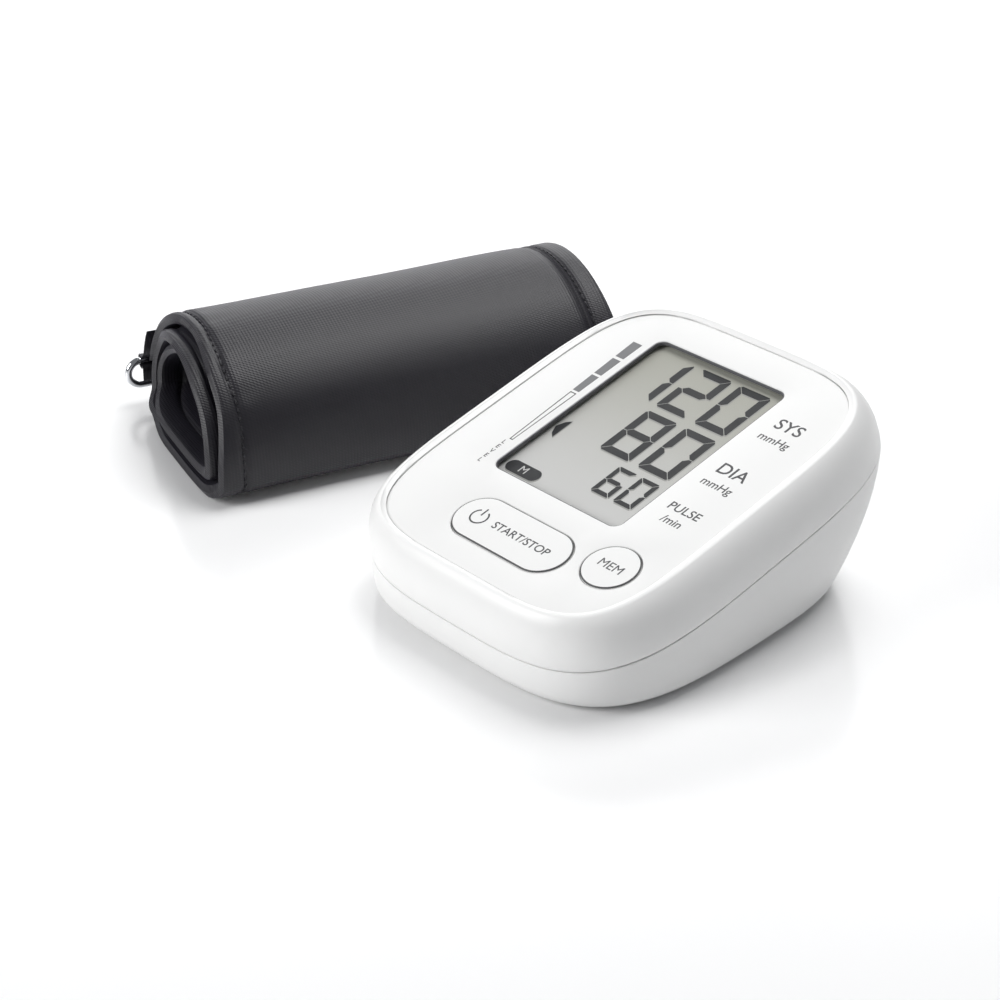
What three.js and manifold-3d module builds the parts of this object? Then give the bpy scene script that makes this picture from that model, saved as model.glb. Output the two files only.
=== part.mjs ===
// Upper-arm blood pressure monitor with its rolled cuff.
// Millimetres, +Z up, +Y to the back, +X to the monitor's right.
// The monitor is a wedge: its face leans back, and the two case shells part on a plane parallel to the face.
// The cuff lies rolled and flattened on the left, turned a little, with its wire ring on the far side.
import * as THREE from "three";
import { mergeVertices } from "three/addons/utils/BufferGeometryUtils.js";
import Module from "manifold-3d";

const wasm = await Module();
wasm.setup();

// ---- Clearances shared by every fit ----
const GAP = 0.3;
const LOOSE = 0.6;

// ---- Case ----
const FACE_TILT = THREE.MathUtils.degToRad(15);
const FACE_HEIGHT = 46.8; // centre of the face plate above the table
const CASE_WIDTH = 125;
const CASE_DEPTH = 147.4; // along the parting plane
const PARTING_DEPTH = 15.2; // parting plane below the face plate
const SHOULDER_WIDTH = 7.7; // how far the upper shell draws in at each side
const SHOULDER_DEPTH = 6.7; // and at the front and back
const RIM_RISE = 1.1; // rim crest above the face plate
const RIM_CHAMFER = 2.1;
const RIM_BAND_WIDTH = 2.6; // rim crest to the plate's edge at each side
const RIM_BAND_DEPTH = 2.3; // and at the front and back
const PLATE_THICKNESS = 1.2;
const PLATE_LEDGE = 4;
const LEDGE_THICKNESS = 2;
const WALL = 2.2;
const CASE_POWER = 3.75; // squareness of the outline at the parting plane
const RIM_POWER = 4.6;
const PLATE_POWER = 5;
const SHOULDER_ARC = THREE.MathUtils.degToRad(70);
const UNDERCUT_RATE = 0.005; // how fast the lower wall draws in as it gets taller
const UNDERCUT_POWER = 1.8;
const BOTTOM_FILLET = 4.5;
const OUTLINE_POINTS = 64;

// ---- Feet and screws ----
const FOOT_HEIGHT = 0.8;
const FOOT_RADIUS = 3.6;
const FOOT_POCKET = 0.8;
const SCREW_RADIUS = 1.1;
const SCREW_LENGTH = 9;
const SCREW_HEAD_RADIUS = 2.4;
const SCREW_HEAD_HEIGHT = 1.5;
const SCREW_POST_WALL = 1.5;
const FRONT_SHELF = 2.4; // height that a front screw's head presses against
const REAR_SHELF = 15;
const SCREW_SIDE = 13; // front screws in from the widest outline
const REAR_SCREW_SIDE = 15.5;
const SCREW_FRONT = 33; // in from the front of the case
const SCREW_REAR = 30.5; // in from the back of the case
const FOOT_SIDE = 22;
const FOOT_FRONT = 22;
const FOOT_REAR = 43;
const BOSS_RADIUS = 3.2;

// ---- Display ----
const WINDOW_WIDTH = 55.2;
const WINDOW_DEPTH = 77.1;
const WINDOW_CORNER = 3.5;
const WINDOW_X = -2.3;
const WINDOW_Y = 12.7;
const WINDOW_LIP = 1.5;
const WINDOW_THICKNESS = 0.8;
const LCD_THICKNESS = 2.4;
const LCD_MARGIN = 0.6;
const HOLDER_WALL = 2.4;

// ---- Buttons ----
const BUTTON_TRAVEL = 0.5;
const BUTTON_FLANGE = 1;
const BUTTON_FLANGE_THICKNESS = 1.4;
const START_LENGTH = 46;
const START_WIDTH = 18.5;
const START_X = 0.5;
const START_Y = -45.7;
const MEMORY_RADIUS = 9.15;
const MEMORY_X = 36.3;
const MEMORY_Y = -39.3;
const STEM_RADIUS = 2.5;

// ---- Circuit board ----
const PCB_DEPTH = 11; // top of the board below the face plate
const PCB_THICKNESS = 1.6;
const PCB_EDGE = 1.8; // board edge to the screw bosses
const PCB_MARGIN_FRONT = 16.7; // in from the case's outline
const PCB_MARGIN_BACK = 21.7;
const PCB_CORNER = 6;
const SWITCH_SIZE = 6;
const SWITCH_HEIGHT = 3.5;
const PLUNGER_RADIUS = 1.7;
const SENSOR_SIZE = 8;
const SENSOR_HEIGHT = 3;
const NIPPLE_RADIUS = 1.5;

// ---- Batteries ----
const BATTERY_COUNT = 4;
const BATTERY_DIAMETER = 14.5;
const BATTERY_LENGTH = 50.5;
const BATTERY_TIP = 1;
const WELL_X = 5;
const WELL_FRONT = -10;
const WELL_WALL = 1.6;
const COVER_THICKNESS = 2;
const CONTACT_THICKNESS = 0.8;
const CONTACT_HEIGHT = 11;

// ---- Pump, valve and air path ----
const PUMP_FRONT = -6;
const MOTOR_RADIUS = 11;
const MOTOR_LENGTH = 26;
const SHAFT_RADIUS = 1;
const SHAFT_SEAT = 8;
const ECCENTRIC_RADIUS = 6;
const ECCENTRIC_OFFSET = 1.5;
const ECCENTRIC_THICKNESS = 4;
const HEAD_WIDTH = 21;
const HEAD_LENGTH = 16;
const HEAD_HEIGHT = 22;
const CRADLE_BASE = 3;
const VALVE_WIDTH = 12;
const VALVE_LENGTH = 18;
const VALVE_HEIGHT = 12;
const VALVE_X = -35;
const VALVE_Y = -23;
const VALVE_PLUNGER_RADIUS = 2;
const VALVE_PLUNGER_LENGTH = 8;
const VALVE_PLUNGER_PROUD = 2;
const AIR_LEVEL = 12; // height of the air path above the table
const MANIFOLD_SIDE = 12.5; // in from the widest outline
const MANIFOLD_BACK = -10;
const MANIFOLD_LENGTH = 20;
const MANIFOLD_RADIUS = 2.6;
const TUBE_RADIUS = 2;
const SOCKET_Y = -15;
const SOCKET_RADIUS = 4.8;
const SOCKET_BORE = 3.25;
const SOCKET_BORE_DEPTH = 7;
const SOCKET_FLANGE = 2;
const SOCKET_FLANGE_THICKNESS = 1.2;
const SOCKET_DRAW_IN = 2.2; // how far the wall has drawn in behind the flange

// ---- Cuff ----
const CUFF_TURN = THREE.MathUtils.degToRad(-16);
const CUFF_X = -142;
const CUFF_Y = 23.1;
const CUFF_LENGTH = 151; // along the roll, which is the cuff's width on the arm
const ROLL_WIDTH = 88.5;
const ROLL_HEIGHT = 50;
const ROLL_LOW_SHARE = 0.2; // share of the height below the widest level
const ROLL_LOW_POWER = 3;
const ROLL_START = 165; // degrees, where the outer end of the sleeve lies
const ROLL_TURNS = 2.4;
const SLEEVE_THICKNESS = 4.4;
const LAYER_SPACE = 1.2;
const CLOTH_THICKNESS = 1;
const BINDING_WIDTH = 4;
const BLADDER_FIRST = 0.28; // turns from the outer end
const BLADDER_LAST = 1.4;
const BLADDER_MARGIN = 5;
const HOOK_FIRST = 1.75;
const HOOK_LAST = 2.1;
const HOOK_THICKNESS = 0.5;
const HOOK_MARGIN = 8;
const STEPS_PER_TURN = 28;
const RING_WIRE = 1.35;
const RING_HALF_HEIGHT = 4.7;
const RING_REACH = 5.2; // how far each rounded end stands out past the cloth
const RING_STANDOFF = 3.75;
const RING_LEVEL = 12;
const TUNNEL_WALL = 1.3;
const TUNNEL_TAB = 0.045; // turns of tab that lies over the sleeve's outer end
const PORT_BASE_RADIUS = 5;
const PORT_BASE_THICKNESS = 1.6;
const PORT_NIPPLE_LENGTH = 9;
const PORT_X = 36;
const PORT_Z = 17;

// ---- Sizes worked out from the ones above ----
const UNDERSIDE = FOOT_HEIGHT;
const FLOOR_TOP = UNDERSIDE + WALL;
const RIM_WIDTH = CASE_WIDTH - 2 * SHOULDER_WIDTH;
const RIM_DEPTH = CASE_DEPTH - 2 * SHOULDER_DEPTH;
const PLATE_WIDTH = RIM_WIDTH - 2 * RIM_BAND_WIDTH;
const PLATE_DEPTH = RIM_DEPTH - 2 * RIM_BAND_DEPTH;
const FACE_MATRIX = new THREE.Matrix4()
  .makeRotationX(FACE_TILT)
  .setPosition(0, 0, FACE_HEIGHT);
const LEDGE_TOP = -(PLATE_THICKNESS + GAP);
const LEDGE_UNDERSIDE = LEDGE_TOP - LEDGE_THICKNESS;
const WINDOW_TOP = -(PLATE_THICKNESS + GAP);
const LCD_TOP = WINDOW_TOP - WINDOW_THICKNESS - GAP;
const PCB_TOP = -PCB_DEPTH;
const BATTERY_PITCH = BATTERY_DIAMETER + LOOSE;
const WELL_WIDTH = BATTERY_COUNT * BATTERY_PITCH + 2 * LOOSE;
const WELL_LENGTH = BATTERY_LENGTH + 2 * (CONTACT_THICKNESS + 2 * GAP);
const BATTERY_LEVEL = UNDERSIDE + COVER_THICKNESS + LOOSE + BATTERY_DIAMETER / 2;
const WELL_ROOF = BATTERY_LEVEL + BATTERY_DIAMETER / 2 + LOOSE;
const WELL_LEFT = WELL_X - WELL_WIDTH / 2;
const WELL_RIGHT = WELL_X + WELL_WIDTH / 2;
const WELL_BACK = WELL_FRONT + WELL_LENGTH;
const PUMP_HALF = Math.max(MOTOR_RADIUS, HEAD_WIDTH / 2);
const PUMP_X = WELL_LEFT - WELL_WALL - LOOSE - PUMP_HALF;
const MOTOR_LEVEL = FLOOR_TOP + CRADLE_BASE + MOTOR_RADIUS;
const MANIFOLD_X = -CASE_WIDTH / 2 + MANIFOLD_SIDE;
const SOCKET_END = -CASE_WIDTH / 2 + 0.5;
const SOCKET_SEAT = SOCKET_END + WALL + SOCKET_DRAW_IN;
const PCB_HALF_WIDTH = CASE_WIDTH / 2 - REAR_SCREW_SIDE - BOSS_RADIUS - PCB_EDGE;
const PCB_FRONT = -CASE_DEPTH / 2 + PCB_MARGIN_FRONT;
const PCB_BACK = CASE_DEPTH / 2 - PCB_MARGIN_BACK;
const HEAD_FRONT = PUMP_FRONT + MOTOR_LENGTH + 1;
const ROLL_PITCH = SLEEVE_THICKNESS + LAYER_SPACE;

// ---- Materials ----
function finish(color, roughness, metalness = 0) {
  return new THREE.MeshStandardMaterial({ color, roughness, metalness });
}
const WHITE_CASE = finish(0xf4f4f4, 0.35);
const WHITE_PLATE = finish(0xf0f0f0, 0.5);
const CLEAR_WINDOW = finish(0xdfe3e2, 0.08);
const LCD_GLASS = finish(0xc9cac4, 0.3);
const LIGHT_PLASTIC = finish(0xe2e2e0, 0.5);
const DARK_PLASTIC = finish(0x2e2f31, 0.5);
const BOARD_GREEN = finish(0x1f5b3a, 0.5);
const STEEL = finish(0xb9bcc0, 0.3, 1);
const BRASS = finish(0xb89a5a, 0.35, 1);
const CHROME = finish(0xe0e2e5, 0.1, 1);
const RUBBER = finish(0x77797b, 0.85);
const SILICONE = finish(0xd9dcd9, 0.5);
const BATTERY_SKIN = finish(0x3a5f86, 0.35, 0.3);
const NYLON = finish(0x35343d, 0.7);
const NYLON_TAPE = finish(0x2a2930, 0.75);
const BLADDER_SKIN = finish(0x4a4a4c, 0.6);

// ---- Solids: joining and cutting closed geometries ----
function toSolid(geometry) {
  const bare = geometry.clone();
  bare.deleteAttribute("normal");
  bare.deleteAttribute("uv");
  const merged = mergeVertices(bare, 1e-4);
  const mesh = new wasm.Mesh({
    numProp: 3,
    vertProperties: new Float32Array(merged.attributes.position.array),
    triVerts: new Uint32Array(merged.index.array),
  });
  return new wasm.Manifold(mesh);
}

function toGeometry(solid) {
  const mesh = solid.getMesh();
  const geometry = new THREE.BufferGeometry();
  geometry.setAttribute("position", new THREE.BufferAttribute(mesh.vertProperties, 3));
  geometry.setIndex(new THREE.BufferAttribute(mesh.triVerts, 1));
  return geometry;
}

function carve(base, ...cutters) {
  let solid = toSolid(base);
  for (const cutter of cutters) {
    solid = solid.subtract(toSolid(cutter));
  }
  return toGeometry(solid);
}

function join(first, ...others) {
  let solid = toSolid(first);
  for (const other of others) {
    solid = solid.add(toSolid(other));
  }
  return toGeometry(solid);
}

function overlap(first, other) {
  return toGeometry(toSolid(first).intersect(toSolid(other)));
}

// ---- Simple shapes ----
function box(x0, x1, y0, y1, z0, z1) {
  const geometry = new THREE.BoxGeometry(x1 - x0, y1 - y0, z1 - z0);
  return geometry.translate((x0 + x1) / 2, (y0 + y1) / 2, (z0 + z1) / 2);
}

// A round post between two heights.
function post(x, y, z0, z1, radius, sides = 20) {
  const geometry = new THREE.CylinderGeometry(radius, radius, z1 - z0, sides);
  return geometry.rotateX(Math.PI / 2).translate(x, y, (z0 + z1) / 2);
}

// A round bar along Y.
function barY(x, z, y0, y1, radius, sides = 20) {
  const geometry = new THREE.CylinderGeometry(radius, radius, y1 - y0, sides);
  return geometry.translate(x, (y0 + y1) / 2, z);
}

// A round bar along X.
function barX(y, z, x0, x1, radius, sides = 20) {
  const geometry = new THREE.CylinderGeometry(radius, radius, x1 - x0, sides);
  return geometry.rotateZ(Math.PI / 2).translate((x0 + x1) / 2, y, z);
}

function roundedRectangle(width, depth, corner) {
  const x = width / 2;
  const y = depth / 2;
  const shape = new THREE.Shape();
  shape.moveTo(x, -y + corner);
  shape.absarc(x - corner, y - corner, corner, 0, Math.PI / 2);
  shape.absarc(-x + corner, y - corner, corner, Math.PI / 2, Math.PI);
  shape.absarc(-x + corner, -y + corner, corner, Math.PI, 1.5 * Math.PI);
  shape.absarc(x - corner, -y + corner, corner, 1.5 * Math.PI, 2 * Math.PI);
  return shape;
}

function slab(shape, z0, z1, curveSegments = 6) {
  const options = { depth: z1 - z0, bevelEnabled: false, curveSegments };
  return new THREE.ExtrudeGeometry(shape, options).translate(0, 0, z0);
}

function roundedSlab(x, y, width, depth, corner, z0, z1) {
  return slab(roundedRectangle(width, depth, corner), z0, z1).translate(x, y, 0);
}

// A flexible tube along a smooth curve through a few points.
function tube(points, radius, steps = 14) {
  const path = new THREE.CatmullRomCurve3(points.map((p) => new THREE.Vector3(...p)));
  const section = new THREE.Shape().absarc(0, 0, radius, 0, 2 * Math.PI);
  return new THREE.ExtrudeGeometry(section, { steps, extrudePath: path, curveSegments: 5 });
}

// ---- Case outlines ----
// One point of a squared ellipse, as fractions of its half sizes.
function squaredPoint(index, power) {
  const angle = (2 * Math.PI * index) / OUTLINE_POINTS;
  const c = Math.cos(angle);
  const s = Math.sin(angle);
  const x = Math.sign(c) * Math.abs(c) ** (2 / power);
  const y = Math.sign(s) * Math.abs(s) ** (2 / power);
  return [x, y];
}

function squaredShape(width, depth, power) {
  const points = [];
  for (let i = 0; i < OUTLINE_POINTS; i += 1) {
    const [x, y] = squaredPoint(i, power);
    points.push(new THREE.Vector2((x * width) / 2, (y * depth) / 2));
  }
  return new THREE.Shape(points);
}

// A closed solid through rings of equal length, lowest first, each closed by a flat fan.
function loft(rings) {
  const count = rings[0].length;
  const positions = [];
  const index = [];
  for (const ring of rings) {
    for (const point of ring) {
      positions.push(...point);
    }
  }
  for (let r = 0; r + 1 < rings.length; r += 1) {
    for (let i = 0; i < count; i += 1) {
      const a = r * count + i;
      const b = r * count + ((i + 1) % count);
      index.push(a, b, b + count, a, b + count, a + count);
    }
  }
  const last = (rings.length - 1) * count;
  const middle = rings.length * count;
  positions.push(...centreOf(rings[0]), ...centreOf(rings[rings.length - 1]));
  for (let i = 0; i < count; i += 1) {
    const next = (i + 1) % count;
    index.push(middle, next, i, middle + 1, last + i, last + next);
  }
  const geometry = new THREE.BufferGeometry();
  geometry.setAttribute("position", new THREE.Float32BufferAttribute(positions, 3));
  geometry.setIndex(index);
  return geometry;
}

function centreOf(ring) {
  const sum = [0, 0, 0];
  for (const point of ring) {
    sum.forEach((value, axis) => {
      sum[axis] = value + point[axis] / ring.length;
    });
  }
  return sum;
}

// Share of the way in from the widest outline to the rim, at a height in the face's frame.
function shoulderShare(height) {
  const rise = THREE.MathUtils.clamp(height + PARTING_DEPTH, 0, PARTING_DEPTH + RIM_RISE);
  const lift = rise / (PARTING_DEPTH + RIM_RISE);
  const angle = Math.asin(lift * Math.sin(SHOULDER_ARC));
  return (1 - Math.cos(angle)) / (1 - Math.cos(SHOULDER_ARC));
}

// One ring of the upper shell, in the face's frame.
function upperRing(height, inset) {
  const share = shoulderShare(height);
  const halfWidth = THREE.MathUtils.lerp(CASE_WIDTH, RIM_WIDTH, share) / 2 - inset;
  const halfDepth = THREE.MathUtils.lerp(CASE_DEPTH, RIM_DEPTH, share) / 2 - inset;
  const power = THREE.MathUtils.lerp(CASE_POWER, RIM_POWER, share);
  const ring = [];
  for (let i = 0; i < OUTLINE_POINTS; i += 1) {
    const [x, y] = squaredPoint(i, power);
    ring.push([x * halfWidth, y * halfDepth, height]);
  }
  return ring;
}

// One ring of the lower shell, in the table's frame. Share 0 is the parting plane and 1 the underside.
function lowerRing(share, inset, floor) {
  const ring = [];
  const fillet = Math.max(BOTTOM_FILLET - inset, 0.5);
  for (let i = 0; i < OUTLINE_POINTS; i += 1) {
    const [x, y] = squaredPoint(i, CASE_POWER);
    const top = new THREE.Vector3(0, (y * CASE_DEPTH) / 2, -(PARTING_DEPTH + GAP));
    top.applyMatrix4(FACE_MATRIX);
    const drop = top.z - UNDERSIDE;
    const straight = top.z - floor - fillet;
    const turn = Math.max(share * 2 - 1, 0) * (Math.PI / 2);
    const down = Math.min(share * 2, 1) * straight + Math.sin(turn) * fillet;
    const undercut = UNDERCUT_RATE * drop ** 2 * (down / drop) ** UNDERCUT_POWER;
    const drawIn = inset + undercut + (1 - Math.cos(turn)) * fillet;
    const alongCase = Math.cos(FACE_TILT) * (CASE_DEPTH / 2);
    ring.push([
      x * (CASE_WIDTH / 2 - drawIn),
      y * (alongCase - drawIn) + PARTING_DEPTH * Math.sin(FACE_TILT),
      top.z - down,
    ]);
  }
  return ring;
}

function range(first, last, steps) {
  return Array.from({ length: steps + 1 }, (_, i) => first + ((last - first) * i) / steps);
}

// ---- Scene graph ----
const monitor = new THREE.Group();
const face = new THREE.Group();
face.applyMatrix4(FACE_MATRIX);
monitor.add(face);
const cuff = new THREE.Group();
cuff.position.set(CUFF_X, CUFF_Y, 0);
cuff.rotation.z = CUFF_TURN;

function place(parent, name, geometry, material) {
  const mesh = new THREE.Mesh(geometry, material);
  mesh.name = name;
  parent.add(mesh);
  return mesh;
}

// Each spot: its name, x, y and, for a screw, the height of the shelf under its head.
const sides = [
  ["left", -1],
  ["right", 1],
];
const caseFront = -CASE_DEPTH / 2;
const caseBack = CASE_DEPTH / 2;
const SCREW_SPOTS = sides.flatMap(([side, sign]) => [
  ["front_" + side, sign * (CASE_WIDTH / 2 - SCREW_SIDE), caseFront + SCREW_FRONT, FRONT_SHELF],
  ["rear_" + side, sign * (CASE_WIDTH / 2 - REAR_SCREW_SIDE), caseBack - SCREW_REAR, REAR_SHELF],
]);
const FOOT_SPOTS = sides.flatMap(([side, sign]) => [
  ["front_" + side, sign * (CASE_WIDTH / 2 - FOOT_SIDE), caseFront + FOOT_FRONT],
  ["rear_" + side, sign * (CASE_WIDTH / 2 - FOOT_SIDE), caseBack - FOOT_REAR],
]);
const inFace = (geometry) => geometry.applyMatrix4(FACE_MATRIX);
const startShape = (grow) =>
  roundedRectangle(START_LENGTH + 2 * grow, START_WIDTH + 2 * grow, START_WIDTH / 2 + grow - 0.01);
const startSlab = (grow, z0, z1) => slab(startShape(grow), z0, z1).translate(START_X, START_Y, 0);
const memorySlab = (grow, z0, z1) => post(MEMORY_X, MEMORY_Y, z0, z1, MEMORY_RADIUS + grow, 36);

// Height of the underside of the ledge that holds the plate, above the table.
function ledgeHeight(y) {
  const middle = (LEDGE_TOP + LEDGE_UNDERSIDE) / 2;
  return FACE_HEIGHT + y * Math.tan(FACE_TILT) + middle / Math.cos(FACE_TILT);
}

function buildTopCase() {
  const heights = range(-PARTING_DEPTH, RIM_RISE, 6);
  const rings = heights.map((height) => upperRing(height, 0));
  const chamferEnd = upperRing(RIM_RISE, RIM_CHAMFER);
  rings.push(chamferEnd.map(([x, y]) => [x, y, GAP]));
  const cavityHeights = range(-PARTING_DEPTH, LEDGE_UNDERSIDE, 4);
  const cavity = cavityHeights.map((height) => upperRing(height, WALL));
  cavity.unshift(upperRing(-PARTING_DEPTH, WALL).map(([x, y, z]) => [x, y, z - 1]));
  const plateSeat = squaredShape(PLATE_WIDTH + 2 * GAP, PLATE_DEPTH + 2 * GAP, PLATE_POWER);
  const ledgeHole = squaredShape(
    PLATE_WIDTH - 2 * PLATE_LEDGE,
    PLATE_DEPTH - 2 * PLATE_LEDGE,
    PLATE_POWER,
  );
  const flange = BUTTON_FLANGE + LOOSE;
  const shell = carve(
    loft(rings),
    loft(cavity),
    slab(plateSeat, LEDGE_TOP, RIM_RISE + 1),
    slab(ledgeHole, LEDGE_UNDERSIDE - 1, LEDGE_TOP + 1),
  );
  const flangeRoom = [
    inFace(startSlab(flange, LEDGE_UNDERSIDE - 1, LEDGE_TOP + 1)),
    inFace(memorySlab(flange, LEDGE_UNDERSIDE - 1, LEDGE_TOP + 1)),
  ];
  const bosses = SCREW_SPOTS.map(([, x, y, shelf]) =>
    post(x, y, shelf + WALL + GAP, ledgeHeight(y), BOSS_RADIUS, 16),
  );
  const pilots = SCREW_SPOTS.map(([, x, y, shelf]) =>
    post(x, y, shelf, shelf + SCREW_LENGTH + LOOSE, SCREW_RADIUS + GAP, 12),
  );
  const bossed = join(inFace(shell), ...bosses);
  place(monitor, "top_case", carve(bossed, ...flangeRoom, ...pilots), WHITE_CASE);
}

function buildBottomCase() {
  const shares = [0, 0.17, 0.34, 0.5, 0.63, 0.76, 0.88, 1];
  const outer = shares.map((share) => lowerRing(share, 0, UNDERSIDE)).reverse();
  const inner = shares.map((share) => lowerRing(share, WALL, FLOOR_TOP)).reverse();
  inner.push(lowerRing(0, WALL, FLOOR_TOP).map(([x, y, z]) => [x, y, z + 2]));
  const well = box(
    WELL_LEFT - WELL_WALL,
    WELL_RIGHT + WELL_WALL,
    WELL_FRONT - WELL_WALL,
    WELL_BACK + WELL_WALL,
    UNDERSIDE,
    WELL_ROOF + WELL_WALL,
  );
  const postRadius = SCREW_HEAD_RADIUS + GAP + SCREW_POST_WALL;
  const posts = SCREW_SPOTS.map(([, x, y, shelf]) =>
    post(x, y, UNDERSIDE, shelf + WALL, postRadius, 20),
  );
  const inside = overlap(join(well, ...posts), loft(outer));
  const shell = join(carve(loft(outer), loft(inner)), inside);
  const cutters = [box(WELL_LEFT, WELL_RIGHT, WELL_FRONT, WELL_BACK, UNDERSIDE - 1, WELL_ROOF)];
  for (const [, x, y, shelf] of SCREW_SPOTS) {
    cutters.push(post(x, y, UNDERSIDE - 1, shelf, SCREW_HEAD_RADIUS + GAP, 16));
    cutters.push(post(x, y, shelf - 1, shelf + WALL + 1, SCREW_RADIUS + GAP, 12));
  }
  for (const [, x, y] of FOOT_SPOTS) {
    cutters.push(post(x, y, UNDERSIDE - 1, UNDERSIDE + FOOT_POCKET, FOOT_RADIUS + GAP, 20));
  }
  const flangeRoom = SOCKET_RADIUS + SOCKET_FLANGE + GAP;
  cutters.push(barX(SOCKET_Y, AIR_LEVEL, -CASE_WIDTH, MANIFOLD_X, SOCKET_RADIUS + GAP, 20));
  cutters.push(barX(SOCKET_Y, AIR_LEVEL, SOCKET_SEAT - GAP, MANIFOLD_X, flangeRoom, 20));
  place(monitor, "bottom_case", carve(shell, ...cutters), WHITE_CASE);
}

function buildFace() {
  const plate = squaredShape(PLATE_WIDTH, PLATE_DEPTH, PLATE_POWER);
  const windowHole = roundedSlab(
    WINDOW_X,
    WINDOW_Y,
    WINDOW_WIDTH,
    WINDOW_DEPTH,
    WINDOW_CORNER,
    -PLATE_THICKNESS - 1,
    1,
  );
  const facePlate = carve(
    slab(plate, -PLATE_THICKNESS, 0),
    windowHole,
    startSlab(GAP, -PLATE_THICKNESS - 1, 1),
    memorySlab(GAP, -PLATE_THICKNESS - 1, 1),
  );
  place(face, "face_plate", facePlate, WHITE_PLATE);
  const lip = 2 * WINDOW_LIP;
  const pane = roundedSlab(
    WINDOW_X,
    WINDOW_Y,
    WINDOW_WIDTH + lip,
    WINDOW_DEPTH + lip,
    WINDOW_CORNER + WINDOW_LIP,
    WINDOW_TOP - WINDOW_THICKNESS,
    WINDOW_TOP,
  );
  place(face, "lcd_window", pane, CLEAR_WINDOW);
}

function buildButton(name, slabOf, x, y) {
  const flangeTop = -(PLATE_THICKNESS + GAP);
  const flangeBottom = flangeTop - BUTTON_FLANGE_THICKNESS;
  const stem = post(x, y, plungerTop() + GAP, flangeBottom + 0.5, STEM_RADIUS, 16);
  const button = join(
    slabOf(0, flangeTop - 0.5, GAP),
    slabOf(BUTTON_FLANGE, flangeBottom, flangeTop),
    stem,
  );
  place(face, name, button, WHITE_PLATE);
}

// Top of a tactile switch's plunger, one loose gap and the travel under the button's flange.
function plungerTop() {
  return -(PLATE_THICKNESS + GAP + BUTTON_FLANGE_THICKNESS) - 1.2;
}

function buildSwitch(name, x, y) {
  const half = SWITCH_SIZE / 2;
  const bottom = PCB_TOP + GAP;
  const top = bottom + SWITCH_HEIGHT;
  const well = post(x, y, top - 1.4, top + 1, PLUNGER_RADIUS + GAP, 16);
  const housing = carve(box(x - half, x + half, y - half, y + half, bottom, top), well);
  place(face, name, housing, DARK_PLASTIC);
  const plunger = post(x, y, top - 1.4 + BUTTON_TRAVEL + GAP, plungerTop(), PLUNGER_RADIUS, 16);
  place(face, name + "_plunger", plunger, LIGHT_PLASTIC);
}

function buildDisplay() {
  const panelWidth = WINDOW_WIDTH + 2 * LCD_MARGIN;
  const panelDepth = WINDOW_DEPTH + 2 * LCD_MARGIN;
  const x0 = WINDOW_X - panelWidth / 2;
  const x1 = WINDOW_X + panelWidth / 2;
  const y0 = WINDOW_Y - panelDepth / 2;
  const y1 = WINDOW_Y + panelDepth / 2;
  const panel = box(x0, x1, y0, y1, LCD_TOP - LCD_THICKNESS, LCD_TOP);
  place(face, "lcd_panel", panel, LCD_GLASS);
  const grow = GAP + HOLDER_WALL;
  const frame = box(x0 - grow, x1 + grow, y0 - grow, y1 + grow, PCB_TOP + GAP, LCD_TOP);
  const pocketFloor = LCD_TOP - LCD_THICKNESS - GAP;
  const pocket = box(x0 - GAP, x1 + GAP, y0 - GAP, y1 + GAP, pocketFloor, LCD_TOP + 1);
  place(face, "lcd_holder", carve(frame, pocket), LIGHT_PLASTIC);
}

function buildBoard() {
  const depth = PCB_BACK - PCB_FRONT;
  const middle = (PCB_BACK + PCB_FRONT) / 2;
  const under = PCB_TOP - PCB_THICKNESS;
  const board = roundedSlab(0, middle, 2 * PCB_HALF_WIDTH, depth, PCB_CORNER, under, PCB_TOP);
  place(face, "main_circuit_board", board, BOARD_GREEN);
  buildSwitch("start_switch", START_X, START_Y);
  buildSwitch("memory_switch", MEMORY_X, MEMORY_Y);
  const [sx, sy, sz] = sensorSpot();
  const half = SENSOR_SIZE / 2;
  const bottom = sz - SENSOR_HEIGHT;
  const sensor = join(
    box(sx - half, sx + half, sy - half, sy + half, bottom, sz),
    post(sx, sy, bottom - 3, bottom + 0.5, NIPPLE_RADIUS, 12),
  );
  place(face, "pressure_sensor", sensor, DARK_PLASTIC);
}

// Where the pressure sensor hangs under the board, in the face's frame.
function sensorSpot() {
  return [-32, -48, PCB_TOP - PCB_THICKNESS - GAP];
}

function batteryX(index) {
  return WELL_X + (index - (BATTERY_COUNT - 1) / 2) * BATTERY_PITCH;
}

function buildBatteries() {
  const front = WELL_FRONT + CONTACT_THICKNESS + 2 * GAP;
  for (let i = 0; i < BATTERY_COUNT; i += 1) {
    const forward = i % 2 === 0;
    const canFront = forward ? front + BATTERY_TIP : front;
    const canBack = canFront + BATTERY_LENGTH - BATTERY_TIP;
    const tipFront = forward ? front : canBack - 0.5;
    const battery = join(
      barY(batteryX(i), BATTERY_LEVEL, canFront, canBack, BATTERY_DIAMETER / 2, 24),
      barY(batteryX(i), BATTERY_LEVEL, tipFront, tipFront + BATTERY_TIP + 0.5, 2.6, 12),
    );
    place(monitor, "battery_" + (i + 1), battery, BATTERY_SKIN);
  }
}

// A contact plate across one battery, or across two to link them.
function buildContact(name, first, last, y) {
  const half = CONTACT_HEIGHT / 2;
  const x0 = batteryX(first) - half;
  const x1 = batteryX(last) + half;
  const plate = box(x0, x1, y, y + CONTACT_THICKNESS, BATTERY_LEVEL - half, BATTERY_LEVEL + half);
  place(monitor, name, plate, STEEL);
}

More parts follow.
